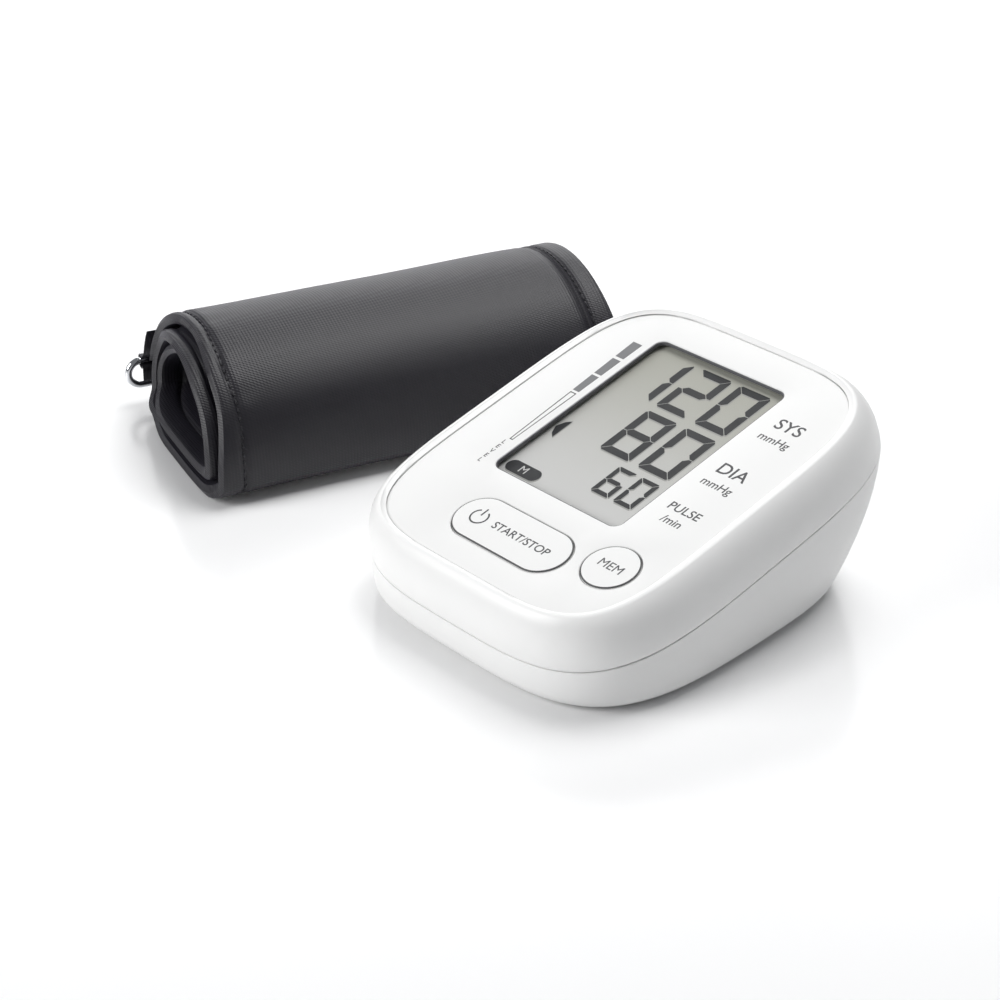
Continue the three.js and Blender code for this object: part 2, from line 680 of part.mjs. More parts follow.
function buildContacts() {
  const front = WELL_FRONT + GAP;
  const rear = WELL_BACK - GAP - CONTACT_THICKNESS;
  buildContact("battery_contact_front_left", 0, 0, front);
  buildContact("battery_contact_front_middle", 1, 2, front);
  buildContact("battery_contact_front_right", 3, 3, front);
  buildContact("battery_contact_rear_left", 0, 1, rear);
  buildContact("battery_contact_rear_right", 2, 3, rear);
}

function buildBatteryCover() {
  const cover = box(
    WELL_LEFT + GAP,
    WELL_RIGHT - GAP,
    WELL_FRONT + GAP,
    WELL_BACK - GAP,
    UNDERSIDE,
    UNDERSIDE + COVER_THICKNESS,
  );
  place(monitor, "battery_cover", cover, WHITE_CASE);
}

function buildFeetAndScrews() {
  for (const [spot, x, y] of FOOT_SPOTS) {
    const foot = post(x, y, 0, UNDERSIDE + FOOT_POCKET - GAP, FOOT_RADIUS, 20);
    place(monitor, "foot_" + spot, foot, RUBBER);
  }
  for (const [spot, x, y, shelf] of SCREW_SPOTS) {
    const seat = shelf - GAP;
    const screw = join(
      post(x, y, seat - SCREW_HEAD_HEIGHT + GAP, seat, SCREW_HEAD_RADIUS, 16),
      post(x, y, seat - GAP, shelf + SCREW_LENGTH, SCREW_RADIUS, 12),
    );
    place(monitor, "case_screw_" + spot, screw, STEEL);
  }
}

function buildPump() {
  const motorBack = PUMP_FRONT + MOTOR_LENGTH;
  const bore = barY(PUMP_X, MOTOR_LEVEL, motorBack - SHAFT_SEAT, motorBack + 1, SHAFT_RADIUS + GAP, 16);
  const can = barY(PUMP_X, MOTOR_LEVEL, PUMP_FRONT, motorBack, MOTOR_RADIUS, 28);
  place(monitor, "pump_motor", carve(can, bore), STEEL);

  const headBack = HEAD_FRONT + HEAD_LENGTH;
  const half = HEAD_WIDTH / 2;
  const headBottom = MOTOR_LEVEL - HEAD_HEIGHT / 2;
  const headTop = MOTOR_LEVEL + HEAD_HEIGHT / 2;
  const chamberRadius = ECCENTRIC_RADIUS + ECCENTRIC_OFFSET + LOOSE;
  const chamberBack = HEAD_FRONT + ECCENTRIC_THICKNESS + 3;
  const portX = PUMP_X - half;
  const portY = HEAD_FRONT + HEAD_LENGTH - 5;
  const head = carve(
    join(
      box(PUMP_X - half, PUMP_X + half, HEAD_FRONT, headBack, headBottom, headTop),
      barX(portY, AIR_LEVEL, portX - 1.5, portX + 1, NIPPLE_RADIUS, 12),
    ),
    barY(PUMP_X, MOTOR_LEVEL, HEAD_FRONT - 1, chamberBack, chamberRadius, 24),
  );
  place(monitor, "pump_head", head, DARK_PLASTIC);

  const discFront = HEAD_FRONT + 1.5;
  const disc = barY(
    PUMP_X,
    MOTOR_LEVEL + ECCENTRIC_OFFSET,
    discFront,
    discFront + ECCENTRIC_THICKNESS,
    ECCENTRIC_RADIUS,
    24,
  );
  const shaftFront = motorBack - SHAFT_SEAT + GAP;
  const shaft = barY(PUMP_X, MOTOR_LEVEL, shaftFront, discFront + 1, SHAFT_RADIUS, 12);
  place(monitor, "pump_shaft", join(shaft, disc), BRASS);

  const saddle = box(
    PUMP_X - MOTOR_RADIUS + 1,
    PUMP_X + MOTOR_RADIUS - 1,
    PUMP_FRONT + 3,
    motorBack - 3,
    FLOOR_TOP + GAP,
    MOTOR_LEVEL - 5,
  );
  const seat = barY(PUMP_X, MOTOR_LEVEL, PUMP_FRONT, motorBack, MOTOR_RADIUS + GAP, 28);
  place(monitor, "pump_cradle", carve(saddle, seat), RUBBER);
}

function buildValve() {
  const half = VALVE_WIDTH / 2;
  const front = VALVE_Y - VALVE_LENGTH / 2;
  const bottom = FLOOR_TOP + GAP;
  const level = bottom + VALVE_HEIGHT / 2;
  const hidden = VALVE_PLUNGER_LENGTH - VALVE_PLUNGER_PROUD;
  const bore = barY(VALVE_X, level, front - 1, front + hidden + 2, VALVE_PLUNGER_RADIUS + GAP, 16);
  const portX = VALVE_X - half;
  const coil = carve(
    join(
      box(portX, VALVE_X + half, front, front + VALVE_LENGTH, bottom, bottom + VALVE_HEIGHT),
      barX(VALVE_Y, AIR_LEVEL, portX - 1.5, portX + 1, NIPPLE_RADIUS, 12),
    ),
    bore,
  );
  place(monitor, "exhaust_valve", coil, DARK_PLASTIC);
  const plungerFront = front - VALVE_PLUNGER_PROUD;
  const plunger = barY(VALVE_X, level, plungerFront, front + hidden, VALVE_PLUNGER_RADIUS, 16);
  place(monitor, "exhaust_valve_plunger", plunger, STEEL);
}

function buildAirPath() {
  const front = MANIFOLD_BACK - MANIFOLD_LENGTH;
  const manifold = join(
    barY(MANIFOLD_X, AIR_LEVEL, front, MANIFOLD_BACK, MANIFOLD_RADIUS, 16),
    barX(SOCKET_Y, AIR_LEVEL, MANIFOLD_X - 4, MANIFOLD_X, NIPPLE_RADIUS, 12),
    barX(VALVE_Y, AIR_LEVEL, MANIFOLD_X, MANIFOLD_X + 4, NIPPLE_RADIUS, 12),
  );
  place(monitor, "air_manifold", manifold, LIGHT_PLASTIC);

  const valvePort = VALVE_X - VALVE_WIDTH / 2 - 1.5;
  const toValve = barX(VALVE_Y, AIR_LEVEL, MANIFOLD_X + 4 + GAP, valvePort - GAP, TUBE_RADIUS, 12);
  place(monitor, "tube_to_valve", toValve, SILICONE);

  const pumpPortX = PUMP_X - HEAD_WIDTH / 2 - 1.5;
  const pumpPortY = HEAD_FRONT + HEAD_LENGTH - 5;
  const run = Math.min(MANIFOLD_X, pumpPortX) - TUBE_RADIUS - LOOSE;
  const toPump = tube(
    [
      [MANIFOLD_X, MANIFOLD_BACK + GAP + 0.5, AIR_LEVEL],
      [(MANIFOLD_X + run) / 2, MANIFOLD_BACK + 6, AIR_LEVEL],
      [run, PUMP_FRONT + 12, AIR_LEVEL],
      [run, HEAD_FRONT - 6, AIR_LEVEL + 1],
      [pumpPortX - TUBE_RADIUS, pumpPortY - TUBE_RADIUS, AIR_LEVEL + 4],
    ],
    TUBE_RADIUS - 0.4,
    18,
  );
  place(monitor, "tube_to_pump", toPump, SILICONE);

  const [sx, sy, sz] = sensorSpot();
  const nipple = new THREE.Vector3(sx, sy, sz - SENSOR_HEIGHT - 3 - LOOSE - 0.5);
  nipple.applyMatrix4(FACE_MATRIX);
  const toSensor = tube(
    [
      [MANIFOLD_X, front - GAP - 0.6, AIR_LEVEL],
      [MANIFOLD_X + 0.9, front - 3.2, AIR_LEVEL - 0.4],
      [MANIFOLD_X + 8, front - 5.5, AIR_LEVEL - 3.5],
      [nipple.x - 3, nipple.y + 2, nipple.z - 5],
      nipple.toArray(),
    ],
    TUBE_RADIUS - 0.4,
  );
  place(monitor, "tube_to_sensor", toSensor, SILICONE);
}

// The air socket: an open bore outside, a flange inside the wall and a closed tail to the manifold.
function buildAirSocket() {
  const tail = MANIFOLD_X - 4 - GAP;
  const flangeEnd = SOCKET_SEAT + SOCKET_FLANGE_THICKNESS;
  const socket = carve(
    join(
      barX(SOCKET_Y, AIR_LEVEL, SOCKET_END, tail, SOCKET_RADIUS, 20),
      barX(SOCKET_Y, AIR_LEVEL, SOCKET_SEAT, flangeEnd, SOCKET_RADIUS + SOCKET_FLANGE, 20),
    ),
    barX(SOCKET_Y, AIR_LEVEL, SOCKET_END - 1, SOCKET_END + SOCKET_BORE_DEPTH, SOCKET_BORE, 20),
  );
  place(monitor, "air_socket", socket, LIGHT_PLASTIC);
}

// ---- Cuff ----
// The rolled section: turns counts from the sleeve's outer end, depth goes in through the sleeve.
function rollPoint(turns, depth) {
  const outside = (degrees) => ((ROLL_START - degrees) / 360) * ROLL_PITCH;
  const topLoss = outside(90);
  const bottomLoss = outside(-90);
  const angle = THREE.MathUtils.degToRad(ROLL_START - 360 * turns);
  const inwards = ROLL_PITCH * turns + depth;
  const height = ROLL_HEIGHT + topLoss + bottomLoss - 2 * inwards;
  const halfWidth = (ROLL_WIDTH + outside(0)) / 2 - inwards;
  const level = inwards - bottomLoss + height * ROLL_LOW_SHARE;
  const c = Math.cos(angle);
  const s = Math.sin(angle);
  if (s >= 0) {
    return new THREE.Vector2(halfWidth * c, level + height * (1 - ROLL_LOW_SHARE) * s);
  }
  const x = halfWidth * Math.sign(c) * Math.abs(c) ** (2 / ROLL_LOW_POWER);
  const z = level - height * ROLL_LOW_SHARE * Math.abs(s) ** (2 / ROLL_LOW_POWER);
  return new THREE.Vector2(x, z);
}

// A strip of the rolled sheet between two counts of turns and two depths.
function bandPoints(firstTurn, lastTurn, outerDepth, innerDepth) {
  const steps = Math.ceil((lastTurn - firstTurn) * STEPS_PER_TURN);
  const turns = range(firstTurn, lastTurn, steps);
  const outer = turns.map((turn) => rollPoint(turn, outerDepth));
  const inner = turns.map((turn) => rollPoint(turn, innerDepth));
  return outer.concat(inner.reverse());
}

// Stands a section up across the roll and runs it along the roll.
function alongRoll(shape, y0, y1) {
  const options = { depth: y1 - y0, bevelEnabled: false };
  return new THREE.ExtrudeGeometry(shape, options).rotateX(Math.PI / 2).translate(0, y1, 0);
}

function buildCuff() {
  const end = CUFF_LENGTH / 2;
  const bodyEnd = end - BINDING_WIDTH - GAP;
  const lining = SLEEVE_THICKNESS - CLOTH_THICKNESS;
  const sleeve = new THREE.Shape(bandPoints(0, ROLL_TURNS, 0, SLEEVE_THICKNESS));
  const room = 0.01;
  const pocket = bandPoints(BLADDER_FIRST - room, BLADDER_LAST + room, CLOTH_THICKNESS, lining);
  sleeve.holes.push(new THREE.Path(pocket.reverse()));
  place(cuff, "cuff_sleeve", alongRoll(sleeve, -bodyEnd, bodyEnd), NYLON);

  const bladder = new THREE.Shape(
    bandPoints(BLADDER_FIRST, BLADDER_LAST, CLOTH_THICKNESS + GAP, lining - GAP),
  );
  const bladderEnd = bodyEnd - BLADDER_MARGIN;
  place(cuff, "cuff_bladder", alongRoll(bladder, -bladderEnd, bladderEnd), BLADDER_SKIN);

  const edge = new THREE.Shape(bandPoints(0, ROLL_TURNS, 0, SLEEVE_THICKNESS));
  place(cuff, "cuff_binding_near", alongRoll(edge, -end, -end + BINDING_WIDTH), NYLON_TAPE);
  place(cuff, "cuff_binding_far", alongRoll(edge, end - BINDING_WIDTH, end), NYLON_TAPE);

  const hookDepth = SLEEVE_THICKNESS + (LAYER_SPACE - HOOK_THICKNESS) / 2;
  const hook = new THREE.Shape(
    bandPoints(HOOK_FIRST - 1, HOOK_LAST - 1, hookDepth, hookDepth + HOOK_THICKNESS),
  );
  const hookEnd = bodyEnd - HOOK_MARGIN;
  place(cuff, "cuff_hook_patch", alongRoll(hook, -hookEnd, hookEnd), NYLON_TAPE);
}

// The wire ring: a torus whose two halves are drawn apart along the roll.
function buildRing() {
  const x = -ROLL_WIDTH / 2 - RING_STANDOFF;
  const shift = CUFF_LENGTH / 2 + RING_REACH - RING_HALF_HEIGHT - RING_WIRE;
  const ring = new THREE.TorusGeometry(RING_HALF_HEIGHT, RING_WIRE, 10, 22);
  ring.rotateZ(Math.PI / 22);
  const spots = ring.attributes.position;
  for (let i = 0; i < spots.count; i += 1) {
    spots.setX(i, spots.getX(i) + Math.sign(spots.getX(i)) * shift);
  }
  ring.rotateX(Math.PI / 2).rotateZ(Math.PI / 2).translate(x, 0, RING_LEVEL);
  place(cuff, "d_ring", ring, CHROME);

  const legLevel = RING_LEVEL + RING_HALF_HEIGHT;
  const inside = RING_WIRE + GAP;
  const section = new THREE.Shape().absarc(0, 0, inside + TUNNEL_WALL, 0, 2 * Math.PI);
  section.holes.push(new THREE.Path().absarc(0, 0, inside, 0, 2 * Math.PI));
  const reach = CUFF_LENGTH / 2 - BINDING_WIDTH;
  const options = { depth: 2 * reach, bevelEnabled: false, curveSegments: 8 };
  const tunnel = new THREE.ExtrudeGeometry(section, options);
  tunnel.rotateX(Math.PI / 2).translate(x, reach, legLevel);
  const tab = new THREE.Shape(bandPoints(-0.012, TUNNEL_TAB, -GAP - TUNNEL_WALL, -GAP));
  const joined = join(tunnel, alongRoll(tab, -reach, reach));
  const wireRoom = barY(x, legLevel, -reach - 1, reach + 1, inside, 16);
  place(cuff, "d_ring_tunnel", carve(joined, wireRoom), NYLON_TAPE);
}

// The hose nipple that comes out of the bladder at the far end of the roll.
function buildAirPort() {
  const y = CUFF_LENGTH / 2 + GAP;
  const port = carve(
    join(
      barY(PORT_X, PORT_Z, y, y + PORT_BASE_THICKNESS, PORT_BASE_RADIUS, 20),
      barY(PORT_X, PORT_Z, y + 1, y + PORT_NIPPLE_LENGTH, TUBE_RADIUS, 16),
    ),
    barY(PORT_X, PORT_Z, y + PORT_BASE_THICKNESS, y + PORT_NIPPLE_LENGTH + 1, 1, 12),
  );
  place(cuff, "cuff_air_port", port, DARK_PLASTIC);
}

buildTopCase();
buildBottomCase();
buildFace();
buildButton("start_button", startSlab, START_X, START_Y);
buildButton("memory_button", memorySlab, MEMORY_X, MEMORY_Y);
buildDisplay();
buildBoard();
buildBatteries();
buildContacts();
buildBatteryCover();
buildFeetAndScrews();
buildPump();
buildValve();
buildAirPath();
buildAirSocket();
buildCuff();
buildRing();
buildAirPort();

// The roll's lowest fold rests on the table.
cuff.position.z -= new THREE.Box3().setFromObject(cuff, true).min.z;

// The origin is the middle of the whole object's footprint, on the table.
const assembly = new THREE.Group();
assembly.add(monitor, cuff);
const bounds = new THREE.Box3().setFromObject(assembly, true);
const centre = bounds.getCenter(new THREE.Vector3());
assembly.position.set(-centre.x, -centre.y, -bounds.min.z);
const bloodPressureMonitor = new THREE.Group();
bloodPressureMonitor.add(assembly);

export default bloodPressureMonitor;
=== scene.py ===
"""Upper-arm blood pressure monitor with its rolled cuff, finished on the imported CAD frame."""

import math

import bmesh
import bpy
from mathutils import Matrix, Vector, noise


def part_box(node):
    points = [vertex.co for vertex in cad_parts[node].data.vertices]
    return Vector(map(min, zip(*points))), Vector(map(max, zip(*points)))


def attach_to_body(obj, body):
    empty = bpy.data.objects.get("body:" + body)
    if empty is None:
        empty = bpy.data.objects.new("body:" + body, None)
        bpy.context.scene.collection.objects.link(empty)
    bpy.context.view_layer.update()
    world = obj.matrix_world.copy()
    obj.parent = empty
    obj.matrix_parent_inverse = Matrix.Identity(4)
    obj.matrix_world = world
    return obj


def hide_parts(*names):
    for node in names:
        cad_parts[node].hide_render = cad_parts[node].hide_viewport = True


bl_info = {
    "name": "Blood Pressure Monitor",
    "version": (1, 0, 0),
    "blender": (4, 5, 0),
    "location": "View3D > Sidebar > Monitor",
    "description": "Builds an upper-arm blood pressure monitor and its rolled cuff on the CAD frame",
    "category": "Object",
}

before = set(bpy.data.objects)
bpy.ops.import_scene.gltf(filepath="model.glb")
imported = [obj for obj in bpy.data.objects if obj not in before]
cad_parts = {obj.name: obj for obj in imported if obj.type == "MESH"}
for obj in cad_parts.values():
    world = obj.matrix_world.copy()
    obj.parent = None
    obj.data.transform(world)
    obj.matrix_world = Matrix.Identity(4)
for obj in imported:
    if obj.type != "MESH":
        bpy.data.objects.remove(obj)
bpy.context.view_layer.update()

MM = 0.001
OUTLINE = 160  # points round each outline of the case
SHARP = math.radians(38)  # edges that turn more than this stay crisp
FILM = 0.02 * MM  # thickness of printed ink and of display segments

# Fits shared with the CAD, in metres
GAP = 0.3 * MM
WALL = 2.2 * MM
UNDERSIDE = 0.8 * MM
CASE_POWER = 3.75
RIM_POWER = 4.6
PLATE_POWER = 5
SHOULDER_ARC = math.radians(70)
UNDERCUT_RATE = 0.005 / MM
UNDERCUT_POWER = 1.8
LEDGE = 4 * MM
LEDGE_THICKNESS = 2 * MM
WELL_WALL = 1.6 * MM
CELL_ROOM = 0.6 * MM
SCREW_LENGTH = 9 * MM  # from the shelf that its head presses on to its tip
POST_RADIUS = 4.2 * MM
HEAD_ROOM = 2.7 * MM
FOOT_ROOM = 3.9 * MM
FOOT_POCKET = 0.8 * MM
SOCKET_ROOM = 5.1 * MM
STEM_RADIUS = 2.5 * MM
FLANGE_THICKNESS = 1.4 * MM


def linear(code):
    """Linear colour of an sRGB hex value."""
    channels = [int(code[i : i + 2], 16) / 255 for i in (1, 3, 5)]
    return tuple(c / 12.92 if c <= 0.04045 else ((c + 0.055) / 1.055) ** 2.4 for c in channels)


def length(label, text, millimetres):
    """A length that a user may change."""
    return bpy.props.FloatProperty(
        name=label,
        description=text,
        default=millimetres * MM,
        min=0,
        precision=5,
        subtype="DISTANCE",
        unit="LENGTH",
    )


def colour(label, text, code):
    """A colour that a user may change."""
    return bpy.props.FloatVectorProperty(
        name=label,
        description=text,
        default=linear(code),
        min=0,
        max=1,
        size=3,
        subtype="COLOR",
    )


class CaseSizes(bpy.types.PropertyGroup):
    tilt: bpy.props.FloatProperty(
        name="Face tilt",
        description="How far the face leans back",
        default=math.radians(15),
        subtype="ANGLE",
        unit="ROTATION",
    )
    width: length("Width", "Case width at the parting line", 125)
    depth: length("Depth", "Case depth along the parting line", 147.4)
    parting_depth: length("Parting depth", "Parting line below the face", 15.2)
    shoulder_width: length("Side shoulder", "How far the upper shell draws in at each side", 7.7)
    shoulder_depth: length("End shoulder", "How far it draws in at the front and back", 6.7)
    rim_rise: length("Rim rise", "Rim crest above the face plate", 1.1)
    rim_chamfer: length("Rim chamfer", "Width of the slope inside the rim", 2.1)
    bottom_fillet: length("Bottom fillet", "Round where the wall meets the underside", 4.5)
    lip_round: length("Lip round", "Round on the edges at the parting line", 0.3)


class FaceSizes(bpy.types.PropertyGroup):
    plate_width: length("Plate width", "Face plate from side to side", 104.4)
    plate_depth: length("Plate depth", "Face plate from front to back", 129.4)
    plate_thickness: length("Plate thickness", "Thickness of the face plate", 1.2)
    edge_round: length("Edge round", "Round on the plate's edges", 0.25)
    window_width: length("Window width", "Display opening from side to side", 55.2)
    window_depth: length("Window depth", "Display opening from front to back", 77.1)
    window_corner: length("Window corner", "Corner radius of the display opening", 3.5)
    # The grey band round the window is painted shade: it stands in for the shadow on the window's wall.
    recess_shade_band: length("Gasket", "Width of the grey seal round the window", 0.3)
    start_length: length("Start length", "Long side of the start button", 46)
    start_width: length("Start width", "Short side of the start button", 18.5)
    memory_radius: length("Memory radius", "Radius of the memory button", 9.15)
    outline: length("Button outline", "Width of the dark line round a button", 0.45)


class CuffSizes(bpy.types.PropertyGroup):
    turn: bpy.props.FloatProperty(
        name="Turn",
        description="How the roll is turned on the table",
        default=math.radians(-16),
        subtype="ANGLE",
        unit="ROTATION",
    )
    length: length("Length", "Length of the roll", 151)
    width: length("Roll width", "Width of the roll", 88.5)
    height: length("Roll height", "Height of the roll", 50)
    thickness: length("Sleeve thickness", "Thickness of the padded sleeve", 4.4)
    space: length("Layer space", "Space between layers of the roll", 1.2)
    far_hem: length("Far hem", "Width of the hem at the far end", 11.5)
    stitch: length("Stitch", "Length of one stitch", 2.4)
    wire: length("Ring wire", "Radius of the ring's wire", 1.35)


class FinishColours(bpy.types.PropertyGroup):
    case: colour("Case", "Moulded shells", "#F6F6F5")
    plate: colour("Plate", "Face plate and buttons", "#EEEEED")
    print: colour("Print", "Words and outlines on the face", "#4C4C4E")
    level: colour("Level bars", "Grey bars beside the display", "#77787A")
    # The display's two tones carry a painted reflection: its glass is coloured lighter at the near end and
    # darker at the far end.
    display_near_with_reflection: colour("Display near", "Display glass at its near end", "#DADAD8")
    display_far_with_reflection: colour("Display far", "Display glass at its far end", "#B8B8AE")
    segment: colour("Segment", "Dark parts of the display", "#333436")
    cloth: colour("Cloth", "Woven nylon of the cuff", "#15131B")
    tape: colour("Tape", "Hems, loop and thread of the cuff", "#151419")
    floor: colour("Floor", "Table under the object", "#FDFDFD")


def settings(kind):
    """The scene's settings of one kind: case, face, cuff or colours."""
    return getattr(bpy.context.scene, "monitor_" + kind)


# ---- Places ----


def middle(node):
    """Middle of a CAD node's box."""
    low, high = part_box(node)
    return (Vector(low) + Vector(high)) / 2


def face_matrix():
    """The face plate's own frame: its top surface is z 0 and its middle the origin."""
    turn = Matrix.Rotation(settings("case").tilt, 4, "X")
    thickness = settings("face").plate_thickness
    return Matrix.Translation(middle("face_plate")) @ turn @ Matrix.Translation((0, 0, thickness / 2))


def monitor_matrix():
    """The monitor's own frame: on the table, under the plate's middle."""
    spot = face_matrix().translation
    return Matrix.Translation((spot.x, spot.y, 0))


def in_face(node):
    """Middle of a CAD node in the face plate's frame."""
    return face_matrix().inverted() @ middle(node)


# ---- Mesh helpers ----


def ring_edges(bm, ring):
    """The edges that join a ring's points in turn."""
    return [bm.edges.get((ring[i - 1], ring[i])) for i in range(len(ring))]


def next_ring(bm, ring, points):
    """Draws a ring out to new points and gives the new ring."""
    made = bmesh.ops.extrude_edge_only(bm, edges=ring_edges(bm, ring))
    fresh = {part for part in made["geom"] if isinstance(part, bmesh.types.BMVert)}
    new = [next(e.other_vert(v) for e in v.link_edges if e.other_vert(v) in fresh) for v in ring]
    for vert, point in zip(new, points):
        vert.co = point
    return new


def loft(bm, rings, capped=True, material=None):
    """A skin through rings of equal length. Uncapped, its last ring lies on its first."""
    made = bmesh.ops.create_circle(bm, segments=len(rings[0]), radius=1)
    first = made["verts"]
    for vert, point in zip(first, rings[0]):
        vert.co = point
    ring = first
    faces = set(bm.faces)
    for number, points in enumerate(rings[1:]):
        ring = next_ring(bm, ring, points)
        if material is not None:
            for face in set(bm.faces) - faces:
                face.material_index = material[number]
            faces = set(bm.faces)
    if capped:
        for loop in (first, ring):
            bmesh.ops.contextual_create(bm, geom=ring_edges(bm, loop))
    else:
        bmesh.ops.remove_doubles(bm, verts=first + ring, dist=0.001 * MM)
    return first, ring


def squared(half_x, half_y, power, height=0.0, count=OUTLINE):
    """A squared ellipse, with its points at even directions."""
    points = []
    for i in range(count):
        c = math.cos(math.tau * i / count)
        s = math.sin(math.tau * i / count)
        reach = (abs(c) ** power + abs(s) ** power) ** (-1 / power)
        points.append(Vector((half_x * reach * c, half_y * reach * s, height)))
    return points


def rounded(half_x, half_y, corner, height=0.0, steps=10):
    """A rectangle with round corners."""
    points = []
    for quarter, (sx, sy) in enumerate(((1, 1), (-1, 1), (-1, -1), (1, -1))):
        for i in range(steps + 1):
            angle = (quarter + i / steps) * math.pi / 2
            x = sx * (half_x - corner) + corner * math.cos(angle)
            y = sy * (half_y - corner) + corner * math.sin(angle)
            points.append(Vector((x, y, height)))
    return points


def disc(bm, radius, low, high, x=0.0, y=0.0, sides=48, top=None):
    """A round post, or a cone where the top radius is given."""
    shift = Matrix.Translation((x, y, (low + high) / 2))
    top = radius if top is None else top
    return bmesh.ops.create_cone(
        bm, cap_ends=True, segments=sides, radius1=radius, radius2=top, depth=high - low, matrix=shift
    )["verts"]


def block(bm, low, high):
    """A rectangular block between two corners."""
    low, high = Vector(low), Vector(high)
    place = Matrix.Translation((low + high) / 2) @ Matrix.Diagonal((*(high - low), 1))
    return bmesh.ops.create_cube(bm, size=1, matrix=place)["verts"]


def stamp(bm, points, low, high):
    """A flat shape with straight sides, between two heights."""
    corners = [bm.verts.new((x, y, low)) for x, y in points]
    face = bm.faces.new(corners)
    made = bmesh.ops.extrude_face_region(bm, geom=[face], use_keep_orig=True)
    lifted = [part for part in made["geom"] if isinstance(part, bmesh.types.BMVert)]
    bmesh.ops.translate(bm, verts=lifted, vec=(0, 0, high - low))


def as_object(bm, name, materials, place=None):
    """Turns a bmesh into a smooth object at the origin, with its place in its mesh."""
    if place is not None:
        bmesh.ops.transform(bm, matrix=place, verts=bm.verts)
    bmesh.ops.recalc_face_normals(bm, faces=bm.faces)
    for face in bm.faces:
        face.smooth = True
    mesh = bpy.data.meshes.new(name)
    bm.to_mesh(mesh)
    bm.free()
    mesh.set_sharp_from_angle(angle=SHARP)
    made = bpy.data.objects.new(name, mesh)
    bpy.context.scene.collection.objects.link(made)
    for material in materials:
        mesh.materials.append(material)
    return made


def settled(made):
    """Applies an object's modifiers to its mesh."""
    graph = bpy.context.evaluated_depsgraph_get()
    mesh = bpy.data.meshes.new_from_object(made.evaluated_get(graph))
    mesh.set_sharp_from_angle(angle=SHARP)
    made.modifiers.clear()
    made.data = mesh
    return made


def combined(base, tool, operation):
    """Joins a tool to a base, cuts it off or keeps what they share, and removes the tool."""
    modifier = base.modifiers.new("shape", "BOOLEAN")
    modifier.object = tool
    modifier.operation = operation
    modifier.solver = "EXACT"
    settled(base)
    bpy.data.objects.remove(tool)
    return base


def attach(made, body, finish, *nodes):
    """Hangs a finished piece on its CAD body, in place of the nodes given."""
    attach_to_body(made, body)
    if nodes:
        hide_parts(*nodes)
    return made


def rounded_off(bm, amount, turn=50):
    """Rounds every edge that turns by more than an angle in degrees."""
    sharp = [edge for edge in bm.edges if math.degrees(edge.calc_face_angle(0)) > turn]
    bmesh.ops.bevel(
        bm,
        geom=sharp,
        offset=amount,
        segments=3,
        profile=0.5,
        affect="EDGES",
        clamp_overlap=True,
        material=-1,
    )


def turned(bm, profile, place, sides=40):
    """A turned part: its outline as radius and distance along its own Z, closed at both ends."""
    points = [(0, profile[0][1]), *profile, (0, profile[-1][1])]
    verts = [bm.verts.new(place @ Vector((radius, 0, along))) for radius, along in points]
    edges = [bm.edges.new(pair) for pair in zip(verts, verts[1:])]
    bmesh.ops.spin(
        bm,
        geom=verts + edges,
        cent=place.translation,
        axis=place.to_3x3() @ Vector((0, 0, 1)),
        angle=math.tau,
        steps=sides,
        use_merge=True,
    )
    bmesh.ops.remove_doubles(bm, verts=bm.verts, dist=0.001 * MM)


def lettering(words, size, place, name, material):
    """Words as a thin mesh, flat on the face."""
    curve = bpy.data.curves.new(name, "FONT")
    curve.body = words
    curve.size = size
    curve.align_x = "CENTER"
    curve.align_y = "CENTER"
    curve.extrude = FILM / 2
    # Bolder strokes close up the letter M, so it stays plain.
    curve.offset = 0 if "M" in words else size * 0.008
    curve.resolution_u = 4
    text = bpy.data.objects.new(name, curve)
    bpy.context.scene.collection.objects.link(text)
    graph = bpy.context.evaluated_depsgraph_get()
    mesh = bpy.data.meshes.new_from_object(text.evaluated_get(graph))
    bpy.data.objects.remove(text)
    mesh.transform(place)
    mesh.materials.clear()
    mesh.materials.append(material)
    made = bpy.data.objects.new(name, mesh)
    bpy.context.scene.collection.objects.link(made)
    return made


def joined(pieces, name):
    """Several mesh objects as one."""
    bm = bmesh.new()
    for piece in pieces:
        bm.from_mesh(piece.data)
    materials = list(pieces[0].data.materials)
    for piece in pieces:
        bpy.data.objects.remove(piece)
    mesh = bpy.data.meshes.new(name)
    bm.to_mesh(mesh)
    bm.free()
    for material in materials:
        mesh.materials.append(material)
    made = bpy.data.objects.new(name, mesh)
    bpy.context.scene.collection.objects.link(made)
    return made


# ---- Materials ----


def add(tree, kind, values=None, links=None, **fields):
    """Adds a node with its fields, its input values and its links."""
    node = tree.nodes.new(kind)
    for name, value in fields.items():
        setattr(node, name, value)
    for name, value in (values or {}).items():
        node.inputs[name].default_value = value
    for name, source in (links or {}).items():
        tree.links.new(source, node.inputs[name])
    return node


def begin(name, **values):
    """A new material's node tree and its shader, with constants on the shader's own sockets."""
    material = bpy.data.materials.new(name)
    material.use_nodes = True
    tree = material.node_tree
    tree.nodes.clear()
    shader = add(tree, "ShaderNodeBsdfPrincipled", values)
    add(tree, "ShaderNodeOutputMaterial", links={"Surface": shader.outputs["BSDF"]})
    return material, tree, shader


def mixed(tree, low, high, factor=None, blend="MIX"):
    """Mixes two colours, given as values or as sockets, and returns the result's socket."""
    node = add(tree, "ShaderNodeMix", data_type="RGBA", blend_type=blend)
    if factor is None:
        node.inputs["Factor"].default_value = 1.0
    else:
        tree.links.new(factor, node.inputs["Factor"])
    for number, tone in ((6, low), (7, high)):
        if isinstance(tone, tuple):
            node.inputs[number].default_value = tone
        else:
            tree.links.new(tone, node.inputs[number])
    return node.outputs[2]


def tinted(rgb, factor):
    """A colour made lighter or darker, ready for a colour socket."""
    return (*[min(c * factor, 1) for c in rgb], 1)


